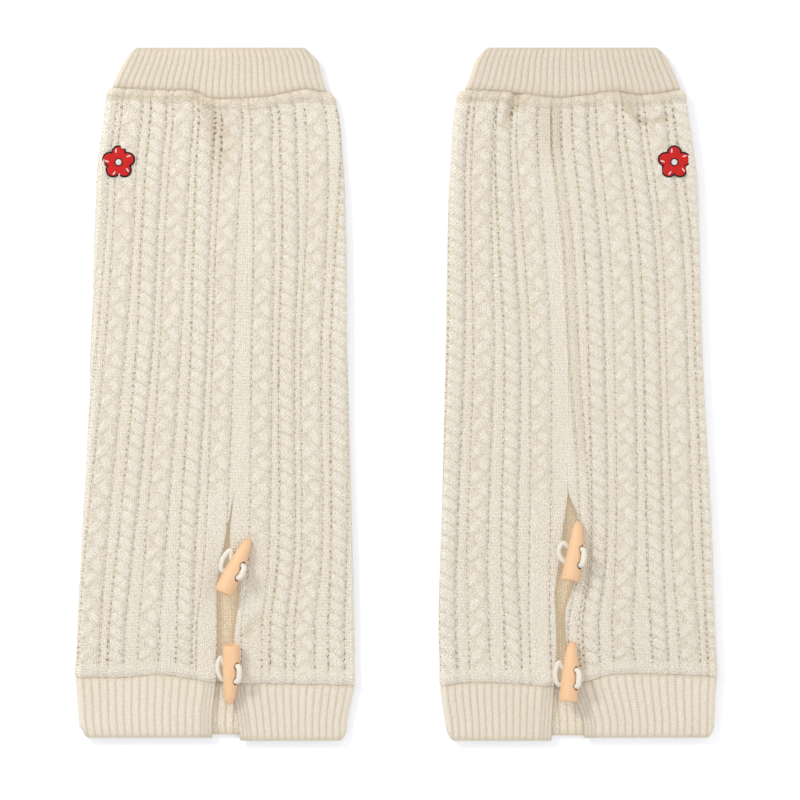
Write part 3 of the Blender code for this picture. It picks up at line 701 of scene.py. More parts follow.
# ------------------------------------------------------------------ flattened tubes
@dataclass(frozen=True)
class FlatTube:
    """The outline of a tube pressed flat, at one height.

    A place round it is a length from the middle of the front, to the right, round the
    right fold, under and back up the left fold.
    """

    left: float
    right: float
    front: float
    pressed: float = 0.8      # how deep the relief of the underside is, crests on the floor
    flattened: float = 0.4    # share of the relief left on the underside
    drawn: float = 0.65       # share of the relief that the stretch round a fold takes

    @property
    def width(self) -> float:
        """From fold to fold."""
        return self.right - self.left

    def point(self, around: float, depth: float, lift: float) -> tuple[float, float, float]:
        """A point of the wall.

        Args:
            around: Place round the tube.
            depth: Below the outer face.
            lift: How far the knit stands out.

        Returns:
            x, z and the share by which the point is on the underside.
        """
        radius = self.front / 2
        start = self.left + radius
        place = (around - start) % (2 * self.width) + start
        right_fold, under = self.right - radius, self.right + radius
        left_fold = 2 * self.right - self.left - radius
        if place <= right_fold:
            turn, middle, side = 0.0, place, 1.0
        elif place < under:
            turn, middle, side = (place - right_fold) / self.front, right_fold, 1.0
        elif place <= left_fold:
            turn, middle, side = 1.0, 2 * self.right - place, 1.0
        else:
            turn, middle, side = 1.0 - (place - left_fold) / self.front, start, -1.0
        below = ramp(turn, 0.0, 1.0)
        angle = math.pi * turn
        shown = lift * (1 - self.drawn * math.sin(angle))
        out = radius - depth + shown * (1 - below) - (self.pressed - self.flattened * lift) * below
        return middle + side * out * math.sin(angle), radius + out * math.cos(angle), below


@dataclass(frozen=True)
class GridRow:
    """A line across a piece: its height, and how deep in the wall it runs, 0 to 1."""

    level: float
    depth: float = 0.0


@dataclass(frozen=True)
class GridColumn:
    """A line along a piece: its lane, its share of that lane, and its pull at an edge."""

    lane: int
    share: float
    edge: float = 0.0
    shift: float = 0.0


Place = Callable[[int, int], Vector]
UvRead = Callable[[int, int, int, int], tuple[float, float]]


def grid_mesh(columns: int, rows: int, place: Place) -> BMesh:
    """A sheet of quads with a vertex for each row and column, in metres.

    Args:
        columns: Number of columns.
        rows: Number of rows.
        place: Gives the point of a row and column, in millimetres.

    Returns:
        The sheet; vertex row * columns + column is that of a row and column.
    """
    mesh = bmesh.new()
    bmesh.ops.create_grid(mesh, x_segments=columns - 1, y_segments=rows - 1, size=0.5)
    for index, vert in enumerate(mesh.verts):
        vert.co = place(*divmod(index, columns)) * MM
    return mesh


def map_faces(mesh: BMesh, name: str, columns: int, read: UvRead) -> None:
    """Write a UV map of a sheet.

    Args:
        mesh: A sheet from grid_mesh, its vertices not yet merged.
        name: Name of the map.
        columns: Its number of columns.
        read: Gives u and v from the face's row and column and the corner's.
    """
    layer = mesh.loops.layers.uv.new(name)
    for face in mesh.faces:
        corners = [divmod(loop.vert.index, columns) for loop in face.loops]
        row, column = min(c[0] for c in corners), min(c[1] for c in corners)
        for loop, corner in zip(face.loops, corners):
            loop[layer].uv = read(row, column, *corner)


def write_attribute(mesh: BMesh, name: str, values: Sequence[float]) -> None:
    """Give each vertex its value of a point attribute.

    Args:
        mesh: The mesh.
        name: Name of the attribute.
        values: A value for each vertex, in their order.
    """
    layer = mesh.verts.layers.float.new(name)
    for vert, value in zip(mesh.verts, values):
        vert[layer] = value


def face_outwards(mesh: BMesh) -> None:
    """Turn the faces outwards.

    Args:
        mesh: A closed mesh.
    """
    bmesh.ops.recalc_face_normals(mesh, faces=mesh.faces)
    if mesh.calc_volume(signed=True) < 0.0:
        bmesh.ops.reverse_faces(mesh, faces=mesh.faces)


def add_object(name: str, data: ID) -> Object:
    """Put a mesh, light or camera in the scene.

    Args:
        name: The object's name.
        data: What it shows.

    Returns:
        The object.
    """
    added = bpy.data.objects.new(name, data)
    bpy.context.scene.collection.objects.link(added)
    return added


def add_mesh(name: str, mesh: BMesh) -> Object:
    """Put a mesh in the scene.

    Args:
        name: The object's name.
        mesh: The mesh, which is freed.

    Returns:
        The object.
    """
    data = bpy.data.meshes.new(name)
    mesh.to_mesh(data)
    mesh.free()
    return add_object(name, data)


def finish_piece(mesh: BMesh, name: str, materials: Sequence[Material],
                 replaced: str | None) -> Object:
    """Make a mesh an object of the scene, shaded smooth, that rides with the pair.

    Args:
        mesh: The mesh, which is freed.
        name: The piece's name.
        materials: Its materials.
        replaced: The solid that it stands for, if any.

    Returns:
        The object.
    """
    piece = add_mesh(name, mesh)
    piece.data.shade_smooth()
    for material in materials:
        piece.data.materials.append(material)
    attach(piece, "root")
    if replaced:
        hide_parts(replaced)
    LOG.info("%s: %d faces", name, len(piece.data.polygons))
    return piece


def to_pair(leg: Leg, x: float, y: float, z: float) -> Vector:
    """A point of a leg's own frame in the pair's frame."""
    return Vector((x + LEG_MIDDLES[leg.name], y - LENGTH / 2, z))


def tube_mesh(path: Sequence[Vector], radius: float, sides: int) -> BMesh:
    """A closed ring of cord along a path, with the map cord_uv in millimetres.

    Args:
        path: Points of the ring, in millimetres.
        radius: Of the cord.
        sides: Number of sides of the cord.

    Returns:
        The ring.
    """
    count = len(path)
    tangents = [(path[(i + 1) % count] - path[i - 1]).normalized() for i in range(count)]
    normal = tangents[0].orthogonal().normalized()
    normals = []
    for tangent in tangents:
        normal = (normal - tangent * normal.dot(tangent)).normalized()
        normals.append(normal)
    twist = normals[0].angle(
        (normals[-1] - tangents[0] * normals[-1].dot(tangents[0])).normalized(), 0.0)
    if normals[-1].cross(normals[0]).dot(tangents[0]) < 0.0:
        twist = -twist

    def place(row: int, column: int) -> Vector:
        """A point round the cord.

        Args:
            row: Ring of the cord.
            column: Side of the cord.

        Returns:
            The point, in millimetres.
        """
        at = row % count
        angle = 2 * math.pi * column / sides + twist * row / count
        across = tangents[at].cross(normals[at])
        return path[at] + radius * (normals[at] * math.cos(angle) + across * math.sin(angle))

    lengths = [0.0]
    for i in range(count):
        lengths.append(lengths[-1] + (path[(i + 1) % count] - path[i]).length)
    mesh = grid_mesh(sides + 1, count + 1, place)
    map_faces(mesh, "cord_uv", sides + 1,
              lambda _r, _c, row, column: (2 * math.pi * radius * column / sides, lengths[row]))
    bmesh.ops.remove_doubles(mesh, verts=mesh.verts, dist=0.001 * MM)
    face_outwards(mesh)
    return mesh


# ------------------------------------------------------------------ the knitted panel
ENDLESS = 1e6             # half length of a strand that runs the whole leg


@dataclass(frozen=True)
class Relief:
    """The knit's form at a point: how far it stands out, and how much shade is painted there."""

    lift: float
    painted_shade: float = 0.0


@dataclass(frozen=True)
class Lobe:
    """A length of one strand that shows, with its middle at x and y."""

    x: float
    y: float
    lean: float = 0.0             # to the right, in degrees
    half_length: float = ENDLESS
    half_width: float = 2.3
    height: float = 0.8
    dive: float = 0.0             # share by which its upper end goes under the next lobe

    def across_along(self, x: float, y: float) -> tuple[float, float]:
        """A point's place across the lobe and along it.

        Args:
            x: From the cable's middle.
            y: Height.

        Returns:
            The two places, in millimetres from its middle.
        """
        right, up = x - self.x, y - self.y
        sine, cosine = math.sin(math.radians(self.lean)), math.cos(math.radians(self.lean))
        return right * cosine - up * sine, right * sine + up * cosine

    def raised(self, repeats: int, repeat: float) -> "Lobe":
        """The same lobe some repeats higher."""
        return replace(self, y=self.y + repeats * repeat)


@dataclass(frozen=True)
class CableForm:
    """The form of one kind of cable: lobes that repeat upwards, over plain strands."""

    width: float
    repeat: float
    lobes: tuple[Lobe, ...]
    strands: tuple[Lobe, ...]

    def top(self, x: float, y: float) -> tuple[Lobe, Relief]:
        """The lobe that shows at a place, and the form there.

        Args:
            x: From the cable's middle.
            y: Height.

        Returns:
            The lobe and the form.
        """
        best, relief = self.strands[0], Relief(0.0, 1.0)
        nearby = list(self.strands)
        for lobe in self.lobes:
            count = round((y - lobe.y) / self.repeat)
            nearby += [lobe.raised(count + step, self.repeat) for step in (-1, 0, 1)]
        for lobe in nearby:
            across, along = lobe.across_along(x, y)
            side, end = abs(across) / lobe.half_width, abs(along) / lobe.half_length
            if side >= 1.0 or end >= 1.0:
                continue
            out = math.hypot(side, end)
            if out >= 1.0:
                continue
            lift = lobe.height * (1.0 - out ** 3) ** 0.6
            lift *= 1.0 - lobe.dive * along / lobe.half_length
            if lift > relief.lift:
                # Painted shade round each lobe's rim and on the plain strands between the lobes.
                still = 0.4 if lobe.half_length == ENDLESS else 0.0
                relief = Relief(lift, max(still, ramp(out, 0.72, 1.0)))
                best = lobe
        return best, relief


CABLES = {
    Knit.PLAIT: CableForm(
        width=10.8, repeat=2 * CROSSING,
        lobes=(Lobe(-1.9, 0.0, 38.0, 6.2, 3.2, 1.6, 0.45),
               Lobe(1.9, CROSSING, -38.0, 6.2, 3.2, 1.6, 0.45)),
        strands=(Lobe(-3.5, 0.0), Lobe(0.0, 0.0), Lobe(3.5, 0.0)),
    ),
    Knit.ROPE: CableForm(
        width=8.1, repeat=CROSSING,
        lobes=(Lobe(0.0, -1.9, -44.0, 6.8, 3.5, 1.9),),
        strands=(Lobe(-2.0, 0.0), Lobe(2.0, 0.0)),
    ),
    Knit.STRAND: CableForm(width=4.4, repeat=CROSSING, lobes=(),
                           strands=(Lobe(0.0, 0.0, height=1.0),)),
}


@dataclass(frozen=True)
class Lane:
    """A stretch of the panel between two lines along it."""

    kind: Knit
    steps: int
    cable: Cable | None = None
    open_left: bool = True
    open_right: bool = True


@dataclass
class KnitPanel:
    """The cable-knit leg: its outer face, and its purl side within."""

    leg: Leg
    face: Material
    inside: Material
    fine_step: float = 0.78        # between columns on the front
    coarse_step: float = 2.7       # and on the underside
    rows_to_crossing: int = 8
    roll: float = 1.7              # soft roll beside the band's seam
    puff: float = 1.3              # and above the hem's
    seam_drop: float = 0.8         # how far the front sinks in at a seam
    front_sinks: float = 4.0       # and over what length
    roll_length: float = 7.74
    in_roll: float = 0.6           # share of the cables' relief left in the roll
    plain_end: float = 11.0        # from a seam to the first crossing
    cable_fade: float = 20.0       # over which a cable that turns plain fades out
    hole_inset: float = 0.85       # from a cable's edge to the open stitches beside it
    least_lane: float = 0.4
    seam_fade: float = 30.0        # over which the rows straighten away from a wavy seam
    deepest: float = 1.9           # crease, less than the wall
    shaded: float = 4.0            # painted shade darkens the purl side this far in from the slit's edges
    ladder_width: float = 6.2
    beside_rope: float = 1.4       # how much further the stitches left of a rope are open
    joined: float = 0.85           # share of the slit's turned edge that its seam takes up
    hole_width: float = 0.6        # of the pit of an open stitch
    hole_length: float = 1.1
    open_patch: tuple[float, float] = (9.0, 20.0)     # reach of a stretched spot
    painted_shade_patch: tuple[float, float] = (10.0, 22.0)
    # reach of the painted shade round a stretched spot
    inside_lanes: int = 150
    inside_rows: int = 220
    inside_edge: float = 0.8       # from the slit's edge to the purl side's

    def __post_init__(self) -> None:
        """Work out the lanes, columns and rows."""
        leg = self.leg
        self.low = leg.hem_level - SEAM_OVERLAP / 2
        self.high = leg.band_level + SEAM_OVERLAP / 2
        self.lanes = self.make_lanes()
        self.columns = self.make_columns()
        count = round((self.high - self.low) / CROSSING * self.rows_to_crossing)
        levels = [lerp(self.low, self.high, i / count) for i in range(count + 1)]
        self.rows = ([GridRow(self.low + 1.2, 1.0), GridRow(self.low, 0.6),
                      GridRow(self.low, 0.15)]
                     + [GridRow(level) for level in levels[1:-1]]
                     + [GridRow(self.high, 0.15), GridRow(self.high, 0.6),
                        GridRow(self.high - 1.2, 1.0)])

    def make_lanes(self) -> list[Lane]:
        """The lanes from the slit's right edge, round the back, to its left edge.

        Returns:
            The lanes.
        """
        leg = self.leg
        fine = round(self.ladder_width / self.fine_step)
        lanes = [Lane(Knit.PLAIN, fine, open_left=False)]
        for cable in leg.cables_right:
            lanes.append(Lane(cable.kind, round(CABLES[cable.kind].width / self.fine_step), cable))
            lanes.append(Lane(Knit.LADDER, fine))
        first = leg.cables_right[-1].kind
        kinds = [Knit.PLAIT, Knit.ROPE] if first is Knit.ROPE else [Knit.ROPE, Knit.PLAIT]
        for index in range(leg.back_cables):
            kind = kinds[index % 2]
            lanes.append(Lane(kind, round(CABLES[kind].width / self.coarse_step)))
            if index < leg.back_cables - 1:
                lanes.append(Lane(Knit.LADDER, round(self.ladder_width / self.coarse_step)))
        for cable in leg.cables_left:
            lanes.append(Lane(Knit.LADDER, fine))
            lanes.append(Lane(cable.kind, round(CABLES[cable.kind].width / self.fine_step), cable))
        lanes.append(Lane(Knit.PLAIN, fine, open_right=False))
        return lanes

    def make_columns(self) -> list[GridColumn]:
        """The columns, with those that turn in at the two edges of the slit.

        Returns:
            The columns.
        """
        turn_in = [(1.0, 3.0), (1.0, 0.9), (0.62, 0.15), (0.2, 0.0), (0.02, 0.45)]
        columns = [GridColumn(0, 0.0, edge, shift) for edge, shift in turn_in]
        for index, lane in enumerate(self.lanes):
            first = 1 if index == 0 else 0
            columns += [GridColumn(index, step / lane.steps) for step in range(first, lane.steps)]
        last = len(self.lanes) - 1
        return columns + [GridColumn(last, 1.0, edge, -shift) for edge, shift in reversed(turn_in)]

    def cable_middle(self, cable: Cable, level: float) -> float:
        """x of a cable's middle, keeping its share of the panel's width.

        Args:
            cable: The cable.
            level: Height on the leg.

        Returns:
            Its x there.
        """
        shares = []
        for height, x in zip(CABLE_HEIGHTS, cable.middles):
            left, right = sides_at(self.leg.body, height)
            shares.append((x - left) / (right - left))
        left, right = sides_at(self.leg.body, level)
        return lerp(left, right, curve_value(CABLE_HEIGHTS, shares, level))

    def to_seam(self, level: float) -> float:
        """Distance to the nearer of the two seams."""
        return min(level - self.low, self.high - level)

    def slit_edges(self, level: float) -> tuple[float, float]:
        """The slit's two edges, which are one seam above its top.

        Args:
            level: Height on the leg.

        Returns:
            x of the left edge and of the right edge.
        """
        left, right = sides_at(self.leg.slit, level)
        if level >= self.leg.slit_top:
            left = right = (left + right) / 2
        return left, right

    def lane_stops(self, level: float) -> list[float]:
        """Places round the tube of the lines between the lanes at a height.

        Args:
            level: Height on the leg.

        Returns:
            A place more than there are lanes.
        """
        left, right = sides_at(self.leg.body, level)
        once_round = 2 * (right - left)
        slit_left, slit_right = self.slit_edges(level)
        middles: list[float | None] = []
        for lane in self.lanes:
            if lane.cable in self.leg.cables_right:
                middles.append(self.cable_middle(lane.cable, level))
            elif lane.cable in self.leg.cables_left:
                middles.append(self.cable_middle(lane.cable, level) + once_round)
            else:
                middles.append(None)
        known = [i for i, lane in enumerate(self.lanes) if lane.cable]
        before = max(i for i in known if self.lanes[i].cable in self.leg.cables_right)
        after = before + 2 * (self.leg.back_cables + 1)
        for index in range(before + 2, after, 2):
            share = (index - before) / (after - before)
            middles[index] = lerp(middles[before], middles[after], share)
        stops = [slit_right]
        for index, middle in enumerate(middles[1:-1], start=1):
            if middle is not None:
                half = CABLES[self.lanes[index].kind].width / 2
                stops += [middle - half, middle + half]
        stops.append(slit_left + once_round)
        for index in range(1, len(stops)):
            stops[index] = max(stops[index], stops[index - 1] + self.least_lane)
        stops[-1] = slit_left + once_round
        for index in range(len(stops) - 2, 0, -1):
            stops[index] = min(stops[index], stops[index + 1] - self.least_lane)
        return stops

    def y_at(self, level: float, x: float) -> float:
        """The rows run along the wavy seams at both ends and straighten away from them.

        Args:
            level: The height, were the seams straight.
            x: From the middle of the leg.

        Returns:
            The height.
        """
        y = level
        near_hem = 1.0 - ramp(level, self.low, self.low + self.seam_fade)
        near_band = ramp(level, self.high - self.seam_fade, self.high)
        if near_hem > 0.0:
            y += (seam_y(self.leg.hem_seam, x) - SEAM_OVERLAP / 2 - self.low) * near_hem
        if near_band > 0.0:
            y += (seam_y(self.leg.band_seam, x) + SEAM_OVERLAP / 2 - self.high) * near_band
        return y

    def crease_depth(self, x: float, y: float) -> float:
        """How far the creases sink the front at a point.

        Args:
            x: From the middle of the leg.
            y: Up from the hem.

        Returns:
            The depth; a ridge counts below zero.
        """
        depth = 0.0
        for crease in self.leg.creases:
            top = Vector((crease.x0, crease.y0))
            run = Vector((crease.x1, crease.y1)) - top
            along = max((Vector((x, y)) - top).dot(run) / run.length_squared, -0.3)
            if along > 1.4:
                continue
            off = (Vector((x, y)) - top - run * along).length
            fade = (1.0 - ramp(along, 0.6, 1.4)) * ramp(along, -0.3, 0.0)
            depth += crease.depth * fade * (1.0 - ramp(off, 0.0, 2 * crease.half_width))
        return min(depth, self.deepest)

    def relief(self, lane: Lane, offset: float, width: float, level: float) -> Relief:
        """The knit's form at a place of a lane.

        Args:
            lane: The lane.
            offset: Millimetres from the lane's left line.
            width: The lane's width there.
            level: Height on the leg.

        Returns:
            Its form, before ends and creases.
        """
        if lane.kind in CABLES:
            form = CABLES[lane.kind]
            off = offset / width * form.width - form.width / 2
            _, knit = form.top(off, level - self.low)
            rounded = math.sqrt(max(1.0 - (2 * abs(off) / form.width) ** 8, 0.0))
            shown = self.shown(lane, level)
            return Relief(lerp(0.35, knit.lift, shown) * rounded, lerp(0.1, knit.painted_shade, shown))
        nearest = self.hole_offset(lane, offset, width)
        off_hole = zigzag(level + self.hole_stagger(lane, offset, width), LADDER_PITCH / 2)
        pit = math.exp(-(nearest / self.hole_width) ** 2) \
            * math.exp(-(off_hole / self.hole_length) ** 2)
        # Painted shade along the lines of open stitches, and a little all over.
        valley = 0.35 * math.exp(-(nearest / 0.9) ** 2)
        if lane.kind is Knit.PLAIN:
            return Relief(0.35 * ramp(nearest, 0.2, 1.2) - 0.4 * pit, 0.1 + valley)
        column = math.sqrt(max(1.0 - ((offset - width / 2) / 1.4) ** 2, 0.0))
        return Relief(0.5 * column - 0.4 * pit, 0.1 + valley)

    def shown(self, lane: Lane, level: float) -> float:
        """How far a cable shows at a height, 0 where it is plain.

        Args:
            lane: The lane.
            level: Height on the leg.

        Returns:
            The share.
        """
        shown = lerp(0.15, 1.0, ramp(level - self.low, self.roll_length, self.plain_end))
        shown *= lerp(self.in_roll, 1.0, ramp(self.high - level, 2.0, self.plain_end))
        if lane.cable and lane.cable.plain_below:
            start = lane.cable.plain_below
            shown *= ramp(level, start, start + self.cable_fade)
        return shown

    def hole_offset(self, lane: Lane, offset: float, width: float) -> float:
        """Distance to the nearest line of open stitches in a ladder or plain lane.

        Args:
            lane: The lane.
            offset: From the lane's left line.
            width: The lane's width there.

        Returns:
            The distance, large where there is no such line.
        """
        nearest = 9.0
        if lane.open_left:
            nearest = min(nearest, abs(offset - self.hole_inset))
        if lane.open_right:
            nearest = min(nearest, abs(width - offset - self.hole_inset))
        return nearest

    def hole_stagger(self, lane: Lane, offset: float, width: float) -> float:
        """The right-hand open stitches of a ladder lie half a pitch above the left-hand ones."""
        return LADDER_PITCH / 2 if lane.open_right and offset > width / 2 else 0.0

    def openness(self, x: float, level: float, below: float) -> float:
        """How far the open stitches are stretched, 0 to 1; the stretched spots are in front.

        Args:
            x: From the middle of the leg.
            level: Height on the leg.
            below: Share by which the point is on the underside.

        Returns:
            The share.
        """
        ends = self.to_seam(level)
        opened = 0.45 + 0.2 * (1.0 - ramp(ends, 10.0, 40.0))
        for near in self.from_stretched(x, level, *self.open_patch):
            opened = max(opened, (1.25 - 0.6 * near) * (1.0 - below))
        return opened * ramp(ends, 6.0, 10.0)

    def strain_shade(self, x: float, level: float, below: float) -> float:
        """How much shade is painted where the knit is gathered in the roll by the band's seam, and on
        stretched spots.

        Args:
            x: From the middle of the leg.
            level: Height on the leg.
            below: Share by which the point is on the underside.

        Returns:
            What to add to the painted shade.
        """
        gathered_shade = 0.4 * (1.0 - ramp(self.high - level, 4.0, 9.0))
        for near in self.from_stretched(x, level, *self.painted_shade_patch):
            gathered_shade = max(gathered_shade, 0.45 * (1.0 - ramp(near, 0.3, 1.3)) * (1.0 - below))
        return gathered_shade

    def from_stretched(self, x: float, level: float, width: float, height: float) -> list[float]:
        """Distance from each stretched spot, as a share of its reach."""
        return [math.hypot((x - spot.x) / width, (level - spot.y) / height)
                for spot in self.leg.stretched]

    def end_lift(self, level: float, x: float) -> float:
        """The soft, uneven roll beside each seam, with a trough under the upper one.

        Args:
            level: Height on the leg.
            x: From the middle of the leg.

        Returns:
            How far the knit is lifted.
        """
        uneven = 1.0 + 0.16 * math.sin(x / 4.3 + 1.0) + 0.12 * math.sin(x / 2.1 + 4.0)
        slack = 0.8 * math.sin(x / 9.0 + 2.0)
        above, below = level - self.low, self.high - level + slack
        roll = curve_value((0.0, 1.2, 3.6, 6.0, 7.6, 9.6), (0.0, 0.6, 1.0, 0.6, -0.3, 0.0), below)
        puff = curve_value((0.0, 1.0, 3.2, 6.5, 9.5, 13.0), (0.0, 0.5, 1.0, 0.8, 0.3, 0.0), above)
        return (self.roll * roll + self.puff * puff) * uneven

    def front_at(self, level: float) -> float:
        """Height of the plain front, which sinks in at the seams."""
        return FRONT - self.seam_drop * (1.0 - ramp(self.to_seam(level), 0.0, self.front_sinks))

    def build_face(self) -> Object:
        """The outer face, with cables and ladders raised in its points.

        Returns:
            The piece.
        """
        tables = []
        for row in self.rows:
            level = row.level
            stops = self.lane_stops(level)
            tube = FlatTube(*sides_at(self.leg.body, level), self.front_at(level))
            closed = ramp(level, self.leg.slit_top - 2.0, self.leg.slit_top + 6.0)
            tables.append((stops, tube, closed))
        width = len(self.columns)
        painted_shades, opened = [], []

        def place(row_index: int, column_index: int) -> Vector:
            """A point of the face; notes how much shade is painted and how open the knit is there.

            Args:
                row_index: Row of the grid.
                column_index: Column of the grid.

            Returns:
                The point, in millimetres.
            """
            row, column = self.rows[row_index], self.columns[column_index]
            stops, tube, closed = tables[row_index]
            lane = self.lanes[column.lane]
            start, end = stops[column.lane], stops[column.lane + 1]
            turned = 1.0 - self.joined * closed
            around = lerp(start, end, column.share) + column.shift * turned
            offset = (end - start) * column.share
            knit = self.relief(lane, offset, end - start, row.level)
            depth = max(row.depth, column.edge * turned)
            x, _, below = tube.point(around, 0.0, 0.0)
            crease = self.crease_depth(x, row.level) * (1.0 - below)
            lift = (knit.lift + self.end_lift(row.level, x) - crease) * (1.0 - depth)
            x, z, _ = tube.point(around, depth * WALL, lift)
            # Painted shade in the cables' grooves, down the creases, in the roll by the band and on
            # stretched spots.
            painted_shade = knit.painted_shade + 0.5 * crease + self.strain_shade(x, row.level, below)
            painted_shades.append(min(max(painted_shade, 0.0), 1.0))
            by_rope = lane.kind is Knit.LADDER and column.share > 0.5 and \
                self.lanes[column.lane + 1].kind is Knit.ROPE
            # The creases also open the stitches further, and the open stitches take painted shade.
            opened.append(self.openness(x, row.level, below) * (self.beside_rope if by_rope else 1.0)
                          + 0.25 * crease)
            return to_pair(self.leg, x, self.y_at(row.level, x), max(z, 0.0))

        mesh = grid_mesh(width, len(self.rows), place)
        write_attribute(mesh, "painted_shade", painted_shades)
        write_attribute(mesh, "openness", opened)
        lobes = self.face_lobes()

        def offset_at(row: int, column: int, lane_index: int) -> tuple[float, float]:
            """Millimetres from a lane's left line, and the lane's width, at a corner.

            Args:
                row: Row of the grid.
                column: Column of the grid.
                lane_index: Number of the lane.

            Returns:
                The two lengths.
            """
            stops = tables[row][0]
            start, end = stops[lane_index], stops[lane_index + 1]
            corner = self.columns[column]
            share = corner.share if corner.lane == lane_index else 1.0
            return (end - start) * share + corner.shift, end - start

        def knit_uv(row: int, column: int, at_row: int, at_column: int) -> tuple[float, float]:
            """Wales follow the strand that shows, rows follow the height.

            Args:
                row: Row of the grid.
                column: Column of the grid.
                at_row: Row of the face's corner.
                at_column: Column of the face's corner.

            Returns:
                Millimetres across the wales and along them.
            """
            lane_index = self.columns[column].lane
            offset, lane_width = offset_at(at_row, at_column, lane_index)
            lane = self.lanes[lane_index]
            level = self.rows[at_row].level
            if lane.kind in CABLES:
                form = CABLES[lane.kind]
                off = offset / lane_width * form.width - form.width / 2
                return lobes[row][column].across_along(off, level - self.low)
            if lane.kind is Knit.LADDER:
                return offset - lane_width / 2 + WALE / 2, level
            return offset, level

        def open_uv(row: int, column: int, at_row: int, at_column: int) -> tuple[float, float]:
            """Distance from the open stitches' line, and the height with its stagger.

            Args:
                row: Row of the grid.
                column: Column of the grid.
                at_row: Row of the face's corner.
                at_column: Column of the face's corner.

            Returns:
                The distance and the height.
            """
            lane_index = self.columns[column].lane
            lane = self.lanes[lane_index]
            offset, lane_width = offset_at(at_row, at_column, lane_index)
            middle_offset = (self.columns[column].share + 0.5 / lane.steps) * lane_width
            level = self.rows[at_row].level
            if lane.kind in CABLES:
                return min(offset, lane_width - offset) + self.hole_inset, level
            stagger = self.hole_stagger(lane, middle_offset, lane_width)
            if lane.open_right and (middle_offset > lane_width / 2 or not lane.open_left):
                return lane_width - offset - self.hole_inset, level + stagger
            return offset - self.hole_inset, level + stagger

        map_faces(mesh, "knit_uv", width, knit_uv)
        map_faces(mesh, "open_uv", width, open_uv)
        name = f"{self.leg.name}_leg_knit"
        piece = finish_piece(mesh, name, [self.face], f"{self.leg.name}_leg_panel")
        self.declare()
        return piece

    def face_lobes(self) -> list[list[Lobe | None]]:
        """The lobe that each face of a cable shows, by row and column.

        Returns:
            A line for each row; None where a lane has no cable.
        """
        result = []
        for low, high in zip(self.rows, self.rows[1:]):
            middle = (low.level + high.level) / 2 - self.low
            line: list[Lobe | None] = []
            for column in self.columns[:-1]:
                lane = self.lanes[column.lane]
                if lane.kind in CABLES:
                    form = CABLES[lane.kind]
                    off = (column.share + 0.5 / lane.steps - 0.5) * form.width
                    line.append(form.top(off, middle)[0])
                else:
                    line.append(None)
            result.append(line)
        return result

    def build_inside(self) -> Object:
        """The purl side of the panel, seen through the slit.

        Returns:
            The piece.
        """
        lanes, steps = self.inside_lanes, self.inside_rows
        painted_shades = []

        def share(column: int) -> float:
            """Share of the way round, with the columns closest under the slit."""
            off = 2.0 * column / lanes - 1.0
            return 0.5 + 0.5 * (0.25 * off + 0.75 * off ** 3)

        def place(row: int, column: int) -> Vector:
            """A point of the inner face; notes how much shade is painted there.

            Args:
                row: Row of the grid.
                column: Column of the grid.

            Returns:
                The point, in millimetres.
            """
            level = lerp(self.low + 0.6, self.high - 0.6, row / steps)
            left, right = sides_at(self.leg.body, level)
            slit_left, slit_right = self.slit_edges(level)
            around = lerp(slit_right + self.inside_edge,
                          slit_left + 2 * (right - left) - self.inside_edge, share(column))
            tube = FlatTube(left, right, FRONT, pressed=0.0)
            waves = 0.35 * noise.noise(Vector((around / 2.4, level / 1.8, 0.0)))
            x, z, _ = tube.point(around, WALL - 0.1, waves)
            into = min(x - slit_left, slit_right - x)
            # Painted shade: darkest at the slit's edges and in the troughs of the waves.
            painted_shades.append(lerp(0.95, 0.2, ramp(into, -0.8, self.shaded)) - 0.5 * waves)
            return to_pair(self.leg, x, self.y_at(level, x), z)

        mesh = grid_mesh(lanes + 1, steps + 1, place)
        widest = 2 * (self.leg.body[0].right - self.leg.body[0].left)
        map_faces(mesh, "knit_uv", lanes + 1, lambda _r, _c, row, column: (
            widest * share(column), (self.high - self.low) * row / steps))
        write_attribute(mesh, "painted_shade", painted_shades)
        bmesh.ops.reverse_faces(mesh, faces=mesh.faces)
        piece = finish_piece(mesh, f"{self.leg.name}_leg_purl", [self.inside],
                             f"{self.leg.name}_leg_panel")
        self.declare()
        return piece

    def declare(self) -> None:
        """Work out the panel's two sides halfway up; the values are not kept."""
        left, right = sides_at(self.leg.body, (self.low + self.high) / 2)


# ------------------------------------------------------------------ the ribbed bands
class Edge(Enum):
    """Which end of the leg a ribbed piece is for."""

    TOP = "top_band"
    HEM = "hem_band"


